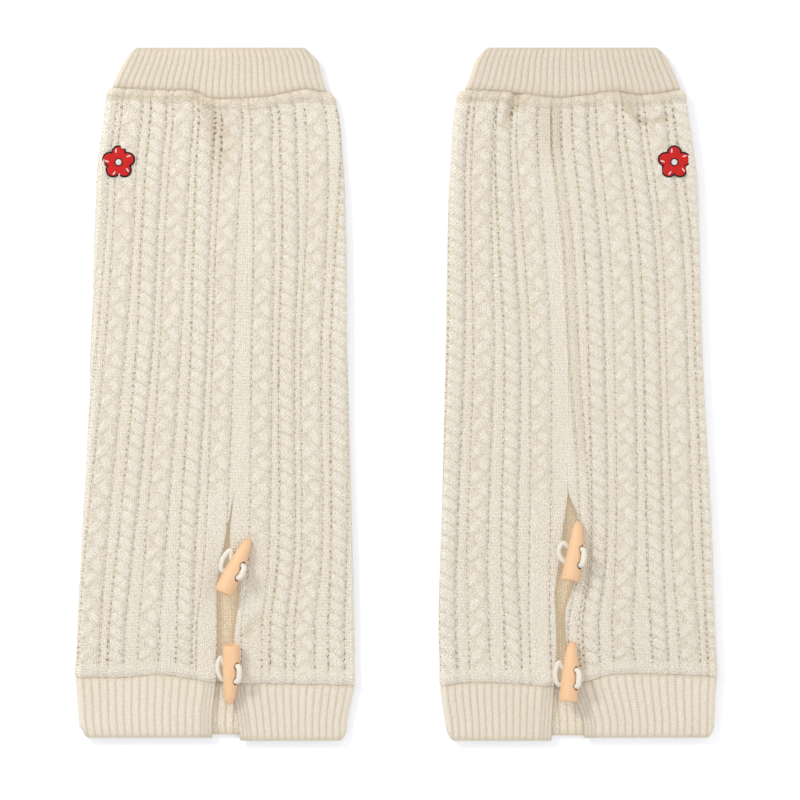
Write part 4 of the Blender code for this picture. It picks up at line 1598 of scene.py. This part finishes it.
@dataclass
class RibBand:
    """A ribbed band: one closed wall, ribs on both faces, rounded over at its free edge."""

    leg: Leg
    edge: Edge
    material: Material
    inside: Material
    top_ribs: int = 32            # on the front of the top band, and as many behind
    hem_back_ribs: int = 33
    placket_ribs: int = 3
    placket_relief: float = 0.35  # share of the ribs' rise
    front_sinks: float = 4.0      # length over which the front sinks in at the seam
    free_fade: float = 9.0        # length over which the free edge's corners straighten
    rows_of_knit: int = 16
    inset: float = 0.9            # from an edge to the first row on the flat
    rise: float = 0.6
    groove: float = 5.0           # the higher, the narrower the grooves
    steps_to_rib: int = 6
    seam_front: float = 6.0       # height of the front at the seam
    placket: float = 7.0          # plain edge beside the slit
    corner: float = 6.0

    def __post_init__(self) -> None:
        """Work out the ends, the ribs of each stretch, the columns and the rows."""
        leg = self.leg
        self.is_top = self.edge is Edge.TOP
        self.outline = leg.band if self.is_top else leg.hem
        self.low = leg.band_level if self.is_top else 0.0
        self.high = LENGTH if self.is_top else leg.hem_level
        self.front, self.free_front = (7.1, 5.4) if self.is_top else (6.0, 5.3)
        right_ribs, left_ribs = leg.hem_ribs[1], leg.hem_ribs[0]
        self.ribs = (self.top_ribs, self.top_ribs) if self.is_top else (
            self.placket_ribs, right_ribs, self.hem_back_ribs, left_ribs, self.placket_ribs)
        self.columns = []
        for index, ribs in enumerate(self.ribs):
            steps = ribs * self.steps_to_rib
            self.columns += [GridColumn(index, step / steps) for step in range(steps)]
        self.columns.append(GridColumn(len(self.ribs) - 1, 1.0))
        if not self.is_top:
            last = len(self.ribs) - 1
            self.columns = ([GridColumn(0, 0.0, 1.0), GridColumn(0, 0.0, 0.6),
                             GridColumn(0, 0.0, 0.15, 0.3)] + self.columns[1:-1]
                            + [GridColumn(last, 1.0, 0.15, -0.3), GridColumn(last, 1.0, 0.6),
                               GridColumn(last, 1.0, 1.0)])
        self.rows = self.make_rows()

    def make_rows(self) -> list[GridRow]:
        """Up the outer face, over the edge, down the inner face and round to the start.

        Returns:
            The rows.
        """
        low, high, inset, count = self.low, self.high, self.inset, self.rows_of_knit
        levels = [lerp(low + inset, high - inset, i / count) for i in range(count + 1)]
        rounding = inset * 0.2
        turn = [GridRow(high - rounding, 0.1), GridRow(high, 0.3), GridRow(high, 0.5),
                GridRow(high, 0.7), GridRow(high - rounding, 0.9)]
        foot = [GridRow(low + rounding, 0.9), GridRow(low, 0.7), GridRow(low, 0.5),
                GridRow(low, 0.3), GridRow(low + rounding, 0.1)]
        return ([foot[2], foot[3], foot[4]] + [GridRow(level) for level in levels] + turn
                + [GridRow(level, 1.0) for level in reversed(levels)] + foot[:3])

    def stops(self, level: float) -> list[float]:
        """Places round the tube of the ends of each ribbed stretch.

        Args:
            level: Height on the leg.

        Returns:
            A place more than there are stretches.
        """
        left, right = sides_at(self.outline, level)
        once_round = 2 * (right - left)
        if self.is_top:
            return [left, right, left + once_round]
        slit_left, slit_right = sides_at(self.leg.slit, level)
        return [slit_right, slit_right + self.placket, right, left + once_round,
                slit_left - self.placket + once_round, slit_left + once_round]

    def y_at(self, level: float, x: float, below: float) -> float:
        """The band runs along its seam and straightens to rounded corners at its free edge.

        Args:
            level: The height, were the seam straight.
            x: From the middle of the leg.
            below: Share by which the point is on the underside.

        Returns:
            The height.
        """
        left, right = sides_at(self.outline, LENGTH if self.is_top else 0.0)
        into = 1.0 - ramp(min(x - left, right - x), 0.0, self.corner)
        lift = self.corner * (0.4 * into ** 2 if self.is_top else 1.0 - math.sqrt(1.0 - into ** 2))
        if self.is_top:
            at_seam = 1.0 - ramp(level, self.low, self.high)
            free = ramp(level, self.high - self.free_fade, self.high)
            seam = seam_y(self.leg.band_seam, x) - SEAM_OVERLAP / 2 - self.low
            return level + seam * at_seam - lift * free
        at_seam = ramp(level, self.low, self.high)
        free = 1.0 - ramp(level, self.low, self.low + self.free_fade)
        seam = seam_y(self.leg.hem_seam, x) + SEAM_OVERLAP / 2 - self.high
        return level + seam * at_seam + lift * free + self.flap_drop(x, below) * free

    def flap_drop(self, x: float, below: float) -> float:
        """How far the bottom of a flap or of the layer behind lies above the lowest.

        Args:
            x: From the middle of the leg.
            below: Share by which the point is on the underside.

        Returns:
            How far it lies above.
        """
        left, right = sides_at(self.outline, 0.0)
        on_left, on_right, behind = self.leg.drops
        slit = sum(sides_at(self.leg.slit, 0.0)) / 2
        flap = on_left if x < slit else on_right
        return lerp(flap, behind, below * ramp(min(x - left, right - x), 2.0, 30.0))

    def ends(self, level: float) -> tuple[float, float]:
        """Distances to the seam and to the free edge."""
        above, below = level - self.low, self.high - level
        return (above, below) if self.is_top else (below, above)

    def front_at(self, level: float) -> float:
        """Height of the front, sunk in at the seam and rounded at the free edge.

        Args:
            level: Height on the leg.

        Returns:
            Its height off the floor.
        """
        to_seam, to_free = self.ends(level)
        front = lerp(self.seam_front, self.front, ramp(to_seam, 0.0, self.front_sinks))
        return lerp(self.free_front, front, math.sqrt(ramp(to_free, -0.5, 5.0)))

    def rib_lift(self, column: GridColumn, level: float) -> tuple[float, float]:
        """Broad ribs with narrow grooves, fading out at both ends: lift, and the painted shade in the
        grooves.

        Args:
            column: The column.
            level: Height on the leg.

        Returns:
            How far it stands out, and how much shade is painted there.
        """
        ribs = self.ribs[column.lane]
        phase = (column.share * ribs) % 1.0
        fine = not self.is_top and column.lane in (0, len(self.ribs) - 1)
        crest = 1.0 - abs(2 * phase - 1.0) ** self.groove
        to_seam, to_free = self.ends(level)
        fade = ramp(to_seam, -1.0, 2.5) * (0.25 + 0.75 * ramp(to_free, 0.0, 3.5))
        share = self.placket_relief if fine else 1.0
        # Painted shade in the grooves between the ribs.
        return self.rise * crest * fade * share, 0.7 - 0.7 * crest * fade

    def build(self) -> Object:
        """The band, merged to one closed wall.

        Returns:
            The piece.
        """
        width = len(self.columns)
        tables = [(self.stops(row.level),
                   FlatTube(*sides_at(self.outline, row.level), self.front_at(row.level),
                            pressed=0.5, flattened=0.5))
                  for row in self.rows]
        painted_shades = []

        def place(row_index: int, column_index: int) -> Vector:
            """A point of the wall.

            Args:
                row_index: Row of the grid.
                column_index: Column of the grid.

            Returns:
                The point, in millimetres.
            """
            row, column = self.rows[row_index], self.columns[column_index]
            stops, tube = tables[row_index]
            around = lerp(stops[column.lane], stops[column.lane + 1], column.share) + column.shift
            depth = lerp(row.depth, 0.5, column.edge)
            rib, painted_shade = self.rib_lift(column, row.level)
            lift = rib * (1.0 - depth)
            x, z, below = tube.point(around, depth * (WALL + 0.6 * rib), lift)
            painted_shades.append(painted_shade)
            return to_pair(self.leg, x, self.y_at(row.level, x, below), max(z, 0.0))

        mesh = grid_mesh(width, len(self.rows), place)
        write_attribute(mesh, "painted_shade", painted_shades)

        def knit_uv(_row: int, column: int, at_row: int, at_column: int) -> tuple[float, float]:
            """The wales keep to the ribs.

            Args:
                _row: The face's row, unused.
                column: Column of the grid.
                at_row: Row of the face's corner.
                at_column: Column of the face's corner.

            Returns:
                Millimetres across the wales and along them.
            """
            lane = self.columns[column].lane
            corner = self.columns[at_column]
            share = corner.share if corner.lane == lane else 1.0
            return share * self.ribs[lane] * RIB_WALES * RIB_WALE, self.rows[at_row].level

        map_faces(mesh, "knit_uv", width, knit_uv)
        for face in mesh.faces:
            row = min(vert.index // width for vert in face.verts)
            face.material_index = 1 if self.rows[row].depth >= 0.9 else 0
        bmesh.ops.remove_doubles(mesh, verts=mesh.verts, dist=0.002 * MM)
        name = f"{self.leg.name}_{self.edge.value}"
        piece = finish_piece(mesh, f"{name}_ribs", [self.material, self.inside], name)
        left, right = sides_at(self.outline, (self.low + self.high) / 2)
        return piece


# ------------------------------------------------------------------ toggles and their loops
Rings = tuple[tuple[float, float], ...]


@dataclass
class ToggleClosure:
    """A horn-shaped toggle on its cord loop. A ring is a distance from the tip and a radius."""

    leg: Leg
    closure: Closure
    wood: Material
    cord: Material
    length: float = 36.3
    sides: int = 40
    rest: float = FRONT + 0.4
    hole_radius: float = 2.2
    cord_radius: float = 1.75
    end_slant: float = 0.12       # how far the blunt end leans back, for its height
    roll: float = 40.0            # the bar's side of the cross holes is turned up this far
    ring_step: float = 1.2        # between rings along the body, close enough for the holes
    hole_sides: int = 24
    drill_length: float = 20.0
    sharp: float = 50.0           # an edge that turns by more degrees stays sharp
    widest: float = 5.45
    cord_sides: int = 14
    cord_rings: int = 96
    arc_turn: float = 1.6         # from the arc's end to the middle of the cord there
    tip: Rings = ((0.0, 0.0), (0.1, 0.7), (0.4, 1.3), (1.1, 1.95), (2.4, 2.55), (4.5, 3.15))
    body: Rings = ((8.0, 3.75), (12.0, 4.25), (16.0, 4.65), (21.0, 5.05), (27.0, 5.35))
    blunt_end: Rings = (
        (33.0, 5.45), (35.3, 5.45), (36.0, 5.3), (36.3, 4.9), (36.2, 4.5), (35.9, 3.9),
        (35.75, 2.0), (35.7, 0.0),
    )

    @property
    def frame(self) -> Matrix:
        """From the toggle's frame, along it from its tip, to the pair's, in millimetres.

        Returns:
            The matrix.
        """
        run = Vector((self.closure.blunt_x - self.closure.tip_x,
                      self.closure.blunt_y - self.closure.tip_y))
        tip = to_pair(self.leg, self.closure.tip_x, self.closure.tip_y, 0.0)
        return Matrix.Translation(tip) @ Matrix.Rotation(math.atan2(run.y, run.x), 4, "Z")

    @property
    def hole_angle(self) -> float:
        """Turn about the horn that lays a hole's axis across it, bar side up."""
        return -self.closure.bar_side * (math.pi / 2 - math.radians(self.roll))

    def radius_at(self, along: float) -> float:
        """Radius of the horn at a distance from its tip."""
        keys, radii = zip(*self.tip[2:], *self.body, *self.blunt_end[:2])
        return curve_value(keys, radii, along) * self.fullness(along)

    def fullness(self, along: float) -> float:
        """How full this horn is at a distance from its tip, next to the common profile."""
        return lerp(1.0, self.closure.blunt / self.widest, ramp(along, 4.0, 32.0))

    def bowed(self, along: float, across: float) -> float:
        """Sideways place of a point on the bowed horn or its loop, across from its axis."""
        bow = self.closure.bow * math.sin(math.pi * along / self.length)
        return self.closure.bar_side * (across + bow)

    def build_horn(self) -> Object:
        """The horn spun from its profile, with its two cross holes.

        Returns:
            The piece.
        """
        mesh = bmesh.new()
        keys, radii = zip(*self.tip, *self.body, *self.blunt_end[:2])
        places = [index * self.ring_step for index in range(4, 28)]
        rings = [(along, curve_value(keys, radii, along)) for along in places]
        verts = [mesh.verts.new((along, 0.0, radius * self.fullness(along)))
                 for along, radius in (*self.tip, *rings, *self.blunt_end)]
        edges = [mesh.edges.new(pair) for pair in zip(verts, verts[1:])]
        bmesh.ops.spin(mesh, geom=verts + edges, cent=(0, 0, 0), axis=(1, 0, 0),
                       angle=2 * math.pi, steps=self.sides, use_merge=True)
        bmesh.ops.remove_doubles(mesh, verts=mesh.verts, dist=0.0001)
        grain = mesh.loops.layers.uv.new("grain_uv")
        for face in mesh.faces:
            for loop in face.loops:
                loop[grain].uv = (loop.vert.co.x, loop.vert.co.y + 0.6 * loop.vert.co.z)
        for vert in mesh.verts:
            along = vert.co.x
            vert.co.x -= self.end_slant * vert.co.z * ramp(along, 30.0, 36.0)
            vert.co.y += self.bowed(along, 0.0)
            vert.co.z += self.rest + self.radius_at(along)
        face_outwards(mesh)
        bmesh.ops.transform(mesh, matrix=Matrix.Scale(MM, 4) @ self.frame, verts=mesh.verts)
        mesh = self.drilled_and_shaded(mesh)
        name = f"{self.leg.name}_toggle_{self.closure.level}"
        piece = finish_piece(mesh, f"{name}_horn", [self.wood], name)
        piece.data.set_sharp_from_angle(angle=math.radians(self.sharp))
        return piece

    def drilled_and_shaded(self, horn: BMesh) -> BMesh:
        """The horn with its holes cut, and with an attribute round them that marks where the painted
        shade goes.

        Args:
            horn: The whole horn, in metres; it is freed.

        Returns:
            The drilled horn.
        """
        cutter = bmesh.new()
        centres = []
        for along in (self.closure.first_hole, self.closure.second_hole):
            centre = self.frame @ Vector(
                (along, self.bowed(along, 0.0), self.rest + self.radius_at(along)))
            centres.append(centre)
            turn = self.frame.to_3x3().to_4x4() @ Matrix.Rotation(self.hole_angle, 4, "X")
            bmesh.ops.create_cone(cutter, cap_ends=True, segments=self.hole_sides,
                                  radius1=self.hole_radius * MM, radius2=self.hole_radius * MM,
                                  depth=self.drill_length * MM,
                                  matrix=Matrix.Translation(centre * MM) @ turn)
        blank, drill = add_mesh("horn", horn), add_mesh("drill", cutter)
        cut = blank.modifiers.new("cross_holes", "BOOLEAN")
        cut.operation, cut.solver, cut.object = "DIFFERENCE", "EXACT", drill
        evaluated = blank.evaluated_get(bpy.context.evaluated_depsgraph_get())
        result = bmesh.new()
        result.from_mesh(evaluated.to_mesh())
        evaluated.to_mesh_clear()
        for piece in (blank, drill):
            bpy.data.objects.remove(piece, do_unlink=True)
        axis = (self.frame.to_3x3() @ Matrix.Rotation(self.hole_angle, 3, "X")).col[2]

        def by_hole(place: Vector) -> bool:
            """Whether a point, in metres, is on a hole's wall or rim."""
            offs = [place / MM - centre for centre in centres]
            return any((off - axis * off.dot(axis)).length < self.hole_radius + 0.05
                       for off in offs)

        write_attribute(result, "drilled_and_shaded", [float(by_hole(vert.co)) for vert in result.verts])
        return result

    def loop(self) -> list[tuple[float, float, float]]:
        """The cord's path.

        It goes through one hole, along the bar on the horn's shoulder, back through the
        other hole and down to an arc on the flap.

        Returns:
            Its points: along the horn, across it, and above its axis.
        """
        first, second = self.closure.first_hole, self.closure.second_hole
        start = self.closure.arc_start + self.arc_turn
        end = self.closure.arc_end - self.arc_turn
        reach = self.closure.arc_reach
        return [(first, 0.0, 0.0), (first + 0.1, 3.9, 3.3), (lerp(first, second, 0.16), 5.0, 4.5),
                (lerp(first, second, 0.5), 5.3, 5.0), (lerp(first, second, 0.84), 5.1, 4.9),
                (second - 0.1, 4.1, 3.5), (second, 0.0, 0.0), (second, -3.7, -3.1),
                (end, -0.8 * reach, -3.7), ((start + end) / 2, -reach, -3.4),
                (start, -0.8 * reach, -3.2), (first, -3.7, -3.1)]

    def build_loop(self) -> Object:
        """The cord loop, one closed ring.

        Returns:
            The piece.
        """
        loop = self.loop()
        stops = list(range(-1, len(loop) + 2))
        path = []
        for index in range(self.cord_rings):
            at = len(loop) * index / self.cord_rings
            along, across, height = (
                curve_value(stops, [loop[stop % len(loop)][axis] for stop in stops], at)
                for axis in range(3))
            axis = self.rest + self.radius_at(along)
            path.append(self.frame @ Vector((along, self.bowed(along, across), axis + height)))
        mesh = tube_mesh(path, self.cord_radius, self.cord_sides)
        name = f"{self.leg.name}_loop_{self.closure.level}"
        return finish_piece(mesh, f"{name}_cord", [self.cord], name)


# ------------------------------------------------------------------ the embroidered flower
class Thread(Enum):
    """The threads of the flower, by the number of their material."""

    OUTLINE = 0
    PETAL = 1
    HEART = 2


@dataclass
class EmbroideredFlower:
    """A five-petalled flower in satin stitch near the top of the outer side."""

    leg: Leg
    outline: Material
    petals: Material
    heart: Material
    petal_count: int = 5
    petal: tuple[float, float, float] = (8.4, 7.6, 1.3)
    petal_edge: float = 1.1       # height of the outline's stitches round a petal
    outline_width: float = 0.9
    petal_lift: float = 0.25      # of the petal's stitches over its outline's
    gleam: tuple[float, float, float] = (3.2, 0.9, 0.6)
    gleam_place: tuple[float, float, float] = (1.5, 1.6, 0.62)
    heart_rim: tuple[float, float, float] = (5.4, 5.4, 2.0)
    heart_size: tuple[float, float, float] = (3.9, 3.9, 2.1)
    heart_lift: float = 0.35      # of the rim over the knit, and of the heart over the rim
    reach: float = 5.2            # from the flower's middle to a petal's middle
    lie: float = 1.35             # how far it lies above the plain knit
    sides: int = 28
    rings: int = 12

    def dome(self, mesh: BMesh, place: Matrix, size: Sequence[float],
             thread: Thread) -> None:
        """Add one flattened dome of stitches.

        Args:
            mesh: The flower's mesh, in millimetres.
            place: Frame of the dome, its stitches along its own x.
            size: Length, width and height.
            thread: What it is stitched in.
        """
        made = bmesh.ops.create_uvsphere(
            mesh, u_segments=self.sides, v_segments=self.rings, radius=0.5,
            matrix=place @ Matrix.Diagonal(Vector(size)).to_4x4())
        layer = mesh.loops.layers.uv.verify()
        back = place.inverted()
        for face in {face for vert in made["verts"] for face in vert.link_faces}:
            face.material_index = thread.value
            for loop in face.loops:
                local = back @ loop.vert.co
                loop[layer].uv = (local.y, local.x)

    def build(self) -> Object:
        """The flower, following the front and the side fold.

        Returns:
            The piece.
        """
        mesh = bmesh.new()
        length, width, _ = self.petal
        edge = 2 * self.outline_width
        outlined = (length + edge, width + edge, self.petal_edge)
        for index in range(self.petal_count):
            turn = Matrix.Rotation(math.radians(90.0 + 360.0 / self.petal_count * index), 4, "Z")
            out = turn @ Matrix.Translation((self.reach, 0.0, 0.0))
            lift = Matrix.Translation((0.0, 0.0, self.petal_lift))
            self.dome(mesh, out, outlined, Thread.OUTLINE)
            self.dome(mesh, out @ lift, self.petal, Thread.PETAL)
            gleam = out @ Matrix.Translation(self.gleam_place)
            self.dome(mesh, gleam, self.gleam, Thread.HEART)
        for lifts, size, thread in ((1, self.heart_rim, Thread.OUTLINE),
                                    (2, self.heart_size, Thread.HEART)):
            lift = Matrix.Translation((0.0, 0.0, self.heart_lift * lifts))
            self.dome(mesh, lift, size, thread)
        tube = FlatTube(*sides_at(self.leg.body, self.leg.flower.y), FRONT)
        for vert in mesh.verts:
            x = vert.co.x + self.leg.flower.x
            around = x if x > 0 else x + 2 * tube.width
            place_x, z, _ = tube.point(around, 0.0, self.lie + vert.co.z)
            vert.co = to_pair(self.leg, place_x, vert.co.y + self.leg.flower.y, z) * MM
        piece = finish_piece(mesh, f"{self.leg.name}_flower",
                             [self.outline, self.petals, self.heart], None)
        piece.data.uv_layers[0].name = "satin_uv"
        return piece


# ------------------------------------------------------------------ one leg warmer
@dataclass(frozen=True)
class Finishes:
    """The materials that the pair shares."""

    cable_knit: Material
    purl: Material
    rib_inside: Material
    top_rib: Material
    hem_rib: Material
    wood: Material
    cord: Material
    outline: Material
    petal: Material
    heart: Material


@dataclass
class LegWarmer:
    """One leg warmer with all its pieces."""

    leg: Leg
    finishes: Finishes

    def build(self) -> None:
        """Make every piece of the leg."""
        finishes = self.finishes
        panel = KnitPanel(self.leg, finishes.cable_knit, finishes.purl)
        panel.build_face()
        panel.build_inside()
        RibBand(self.leg, Edge.TOP, finishes.top_rib, finishes.rib_inside).build()
        RibBand(self.leg, Edge.HEM, finishes.hem_rib, finishes.rib_inside).build()
        for closure in self.leg.closures:
            toggle = ToggleClosure(self.leg, closure, finishes.wood, finishes.cord)
            toggle.build_horn()
            toggle.build_loop()
        EmbroideredFlower(self.leg, finishes.outline, finishes.petal, finishes.heart).build()


# ------------------------------------------------------------------ the studio
@dataclass
class Studio:
    """A pale floor, soft light from above and the left, and the camera straight above."""

    view_width: float = 484.0     # of the picture, at the height of the knit
    view_middle: tuple[float, float] = (2.25, -3.55)
    camera_height: float = 2600.0
    sensor: float = 36.0
    floor_half: float = 3000.0
    floor_drop: float = 0.3       # the floor lies just under the pair

    def build_camera(self) -> None:
        """The camera looks straight down through a long lens."""
        data = bpy.data.cameras.new("camera")
        data.sensor_width = self.sensor
        data.lens = self.sensor * (self.camera_height - FRONT) / self.view_width
        camera = add_object("camera", data)
        camera.location = Vector((*self.view_middle, self.camera_height)) * MM
        bpy.context.scene.camera = camera

    def build_floor(self) -> None:
        """A matt white table top."""
        material, tree, shader = new_material("white_table")
        place = add_node(tree, "TexCoord")
        grain = add_node(tree, "TexNoise", {"Vector": place.outputs["Object"], "Scale": 400.0})
        bump = add_node(tree, "Bump",
                        {"Height": grain.outputs["Fac"], "Strength": 0.05, "Distance": 0.05 * MM})
        set_inputs(tree, shader, {
            "Base Color": linear_colour("f4f5f7"), "Normal": bump.outputs["Normal"],
            "Roughness": 0.9, "Emission Color": linear_colour("fbfcff"),
            "Emission Strength": 0.1})
        mesh = bmesh.new()
        bmesh.ops.create_grid(mesh, x_segments=8, y_segments=8, size=self.floor_half * MM)
        bmesh.ops.translate(mesh, vec=(0.0, 0.0, -self.floor_drop * MM), verts=mesh.verts)
        floor = add_mesh("floor", mesh)
        floor.data.materials.append(material)

    def build_light(self, name: str, place: Vector, size: float, power: float) -> None:
        """A square soft box aimed at the pair.

        Args:
            name: The light's name.
            place: Where it hangs, in metres.
            size: Side of the square, in metres.
            power: In watts.
        """
        data = bpy.data.lights.new(name, "AREA")
        data.size = size
        data.energy = power
        light = add_object(name, data)
        light.location = place
        light.rotation_euler = (-place).to_track_quat("-Z", "Y").to_euler()

    def build(self) -> None:
        """Camera, floor, lights and the pale room round them."""
        self.build_camera()
        self.build_floor()
        self.build_light("key", Vector((-1.1, 1.0, 1.25)), 0.3, 15.0)
        self.build_light("fill", Vector((1.4, -0.6, 1.8)), 1.6, 6.0)
        world = bpy.data.worlds.new("pale_room")
        world.use_nodes = True
        set_inputs(world.node_tree, world.node_tree.nodes["Background"],
                   {"Color": linear_colour("fbfcff"), "Strength": 0.93})
        bpy.context.scene.world = world
        bpy.context.scene.view_settings.view_transform = "Standard"


def main() -> None:
    """Build both leg warmers and the studio."""
    logging.basicConfig(level=logging.INFO, format="%(name)s: %(message)s")
    # Each yarn's hollow and gap colours are painted shade, and its glow is painted light.
    finishes = Finishes(
        cable_knit=KnittedYarn("cable_knit_yarn", yarn="fcf6ea", painted_shade="dccdb2", relief=0.65,
                               grain=0.6, open_stitches=True, painted_glow=0.07, shade_flecks=0.18).make(),
        purl=KnittedYarn("purl_side_yarn", yarn="fff3df", painted_shade="a07c45", relief=1.0,
                         grain=0.7, purl=True, painted_glow=0.42, painted_glow_colour="f7e4c4", shade_flecks=0.6).make(),
        rib_inside=KnittedYarn("rib_inside_yarn", yarn="f6ecdb", painted_shade="ae966c", wale=1.35,
                               row=1.6, relief=0.4, painted_glow=0.14).make(),
        top_rib=KnittedYarn("band_rib_yarn", yarn="e9dfcf", painted_shade="c2b195", wale=RIB_WALE,
                            row=1.4, relief=0.22, shade_flecks=0.12).make(),
        hem_rib=KnittedYarn("hem_rib_yarn", yarn="f0e7d8", painted_shade="c6b698", wale=RIB_WALE,
                            row=1.4, relief=0.22, shade_flecks=0.12).make(),
        wood=TurnedWood().make(),
        cord=BraidedCord().make(),
        outline=SatinStitch("black_rayon_stitches", "1d1a1c").make(),
        petal=SatinStitch("red_rayon_stitches", "dc2622").make(),
        heart=SatinStitch("white_rayon_stitches", "f2ece6").make(),
    )
    for leg in (LEFT_LEG, RIGHT_LEG):
        LegWarmer(leg, finishes).build()
    Studio().build()


if __name__ == "__main__":
    main()
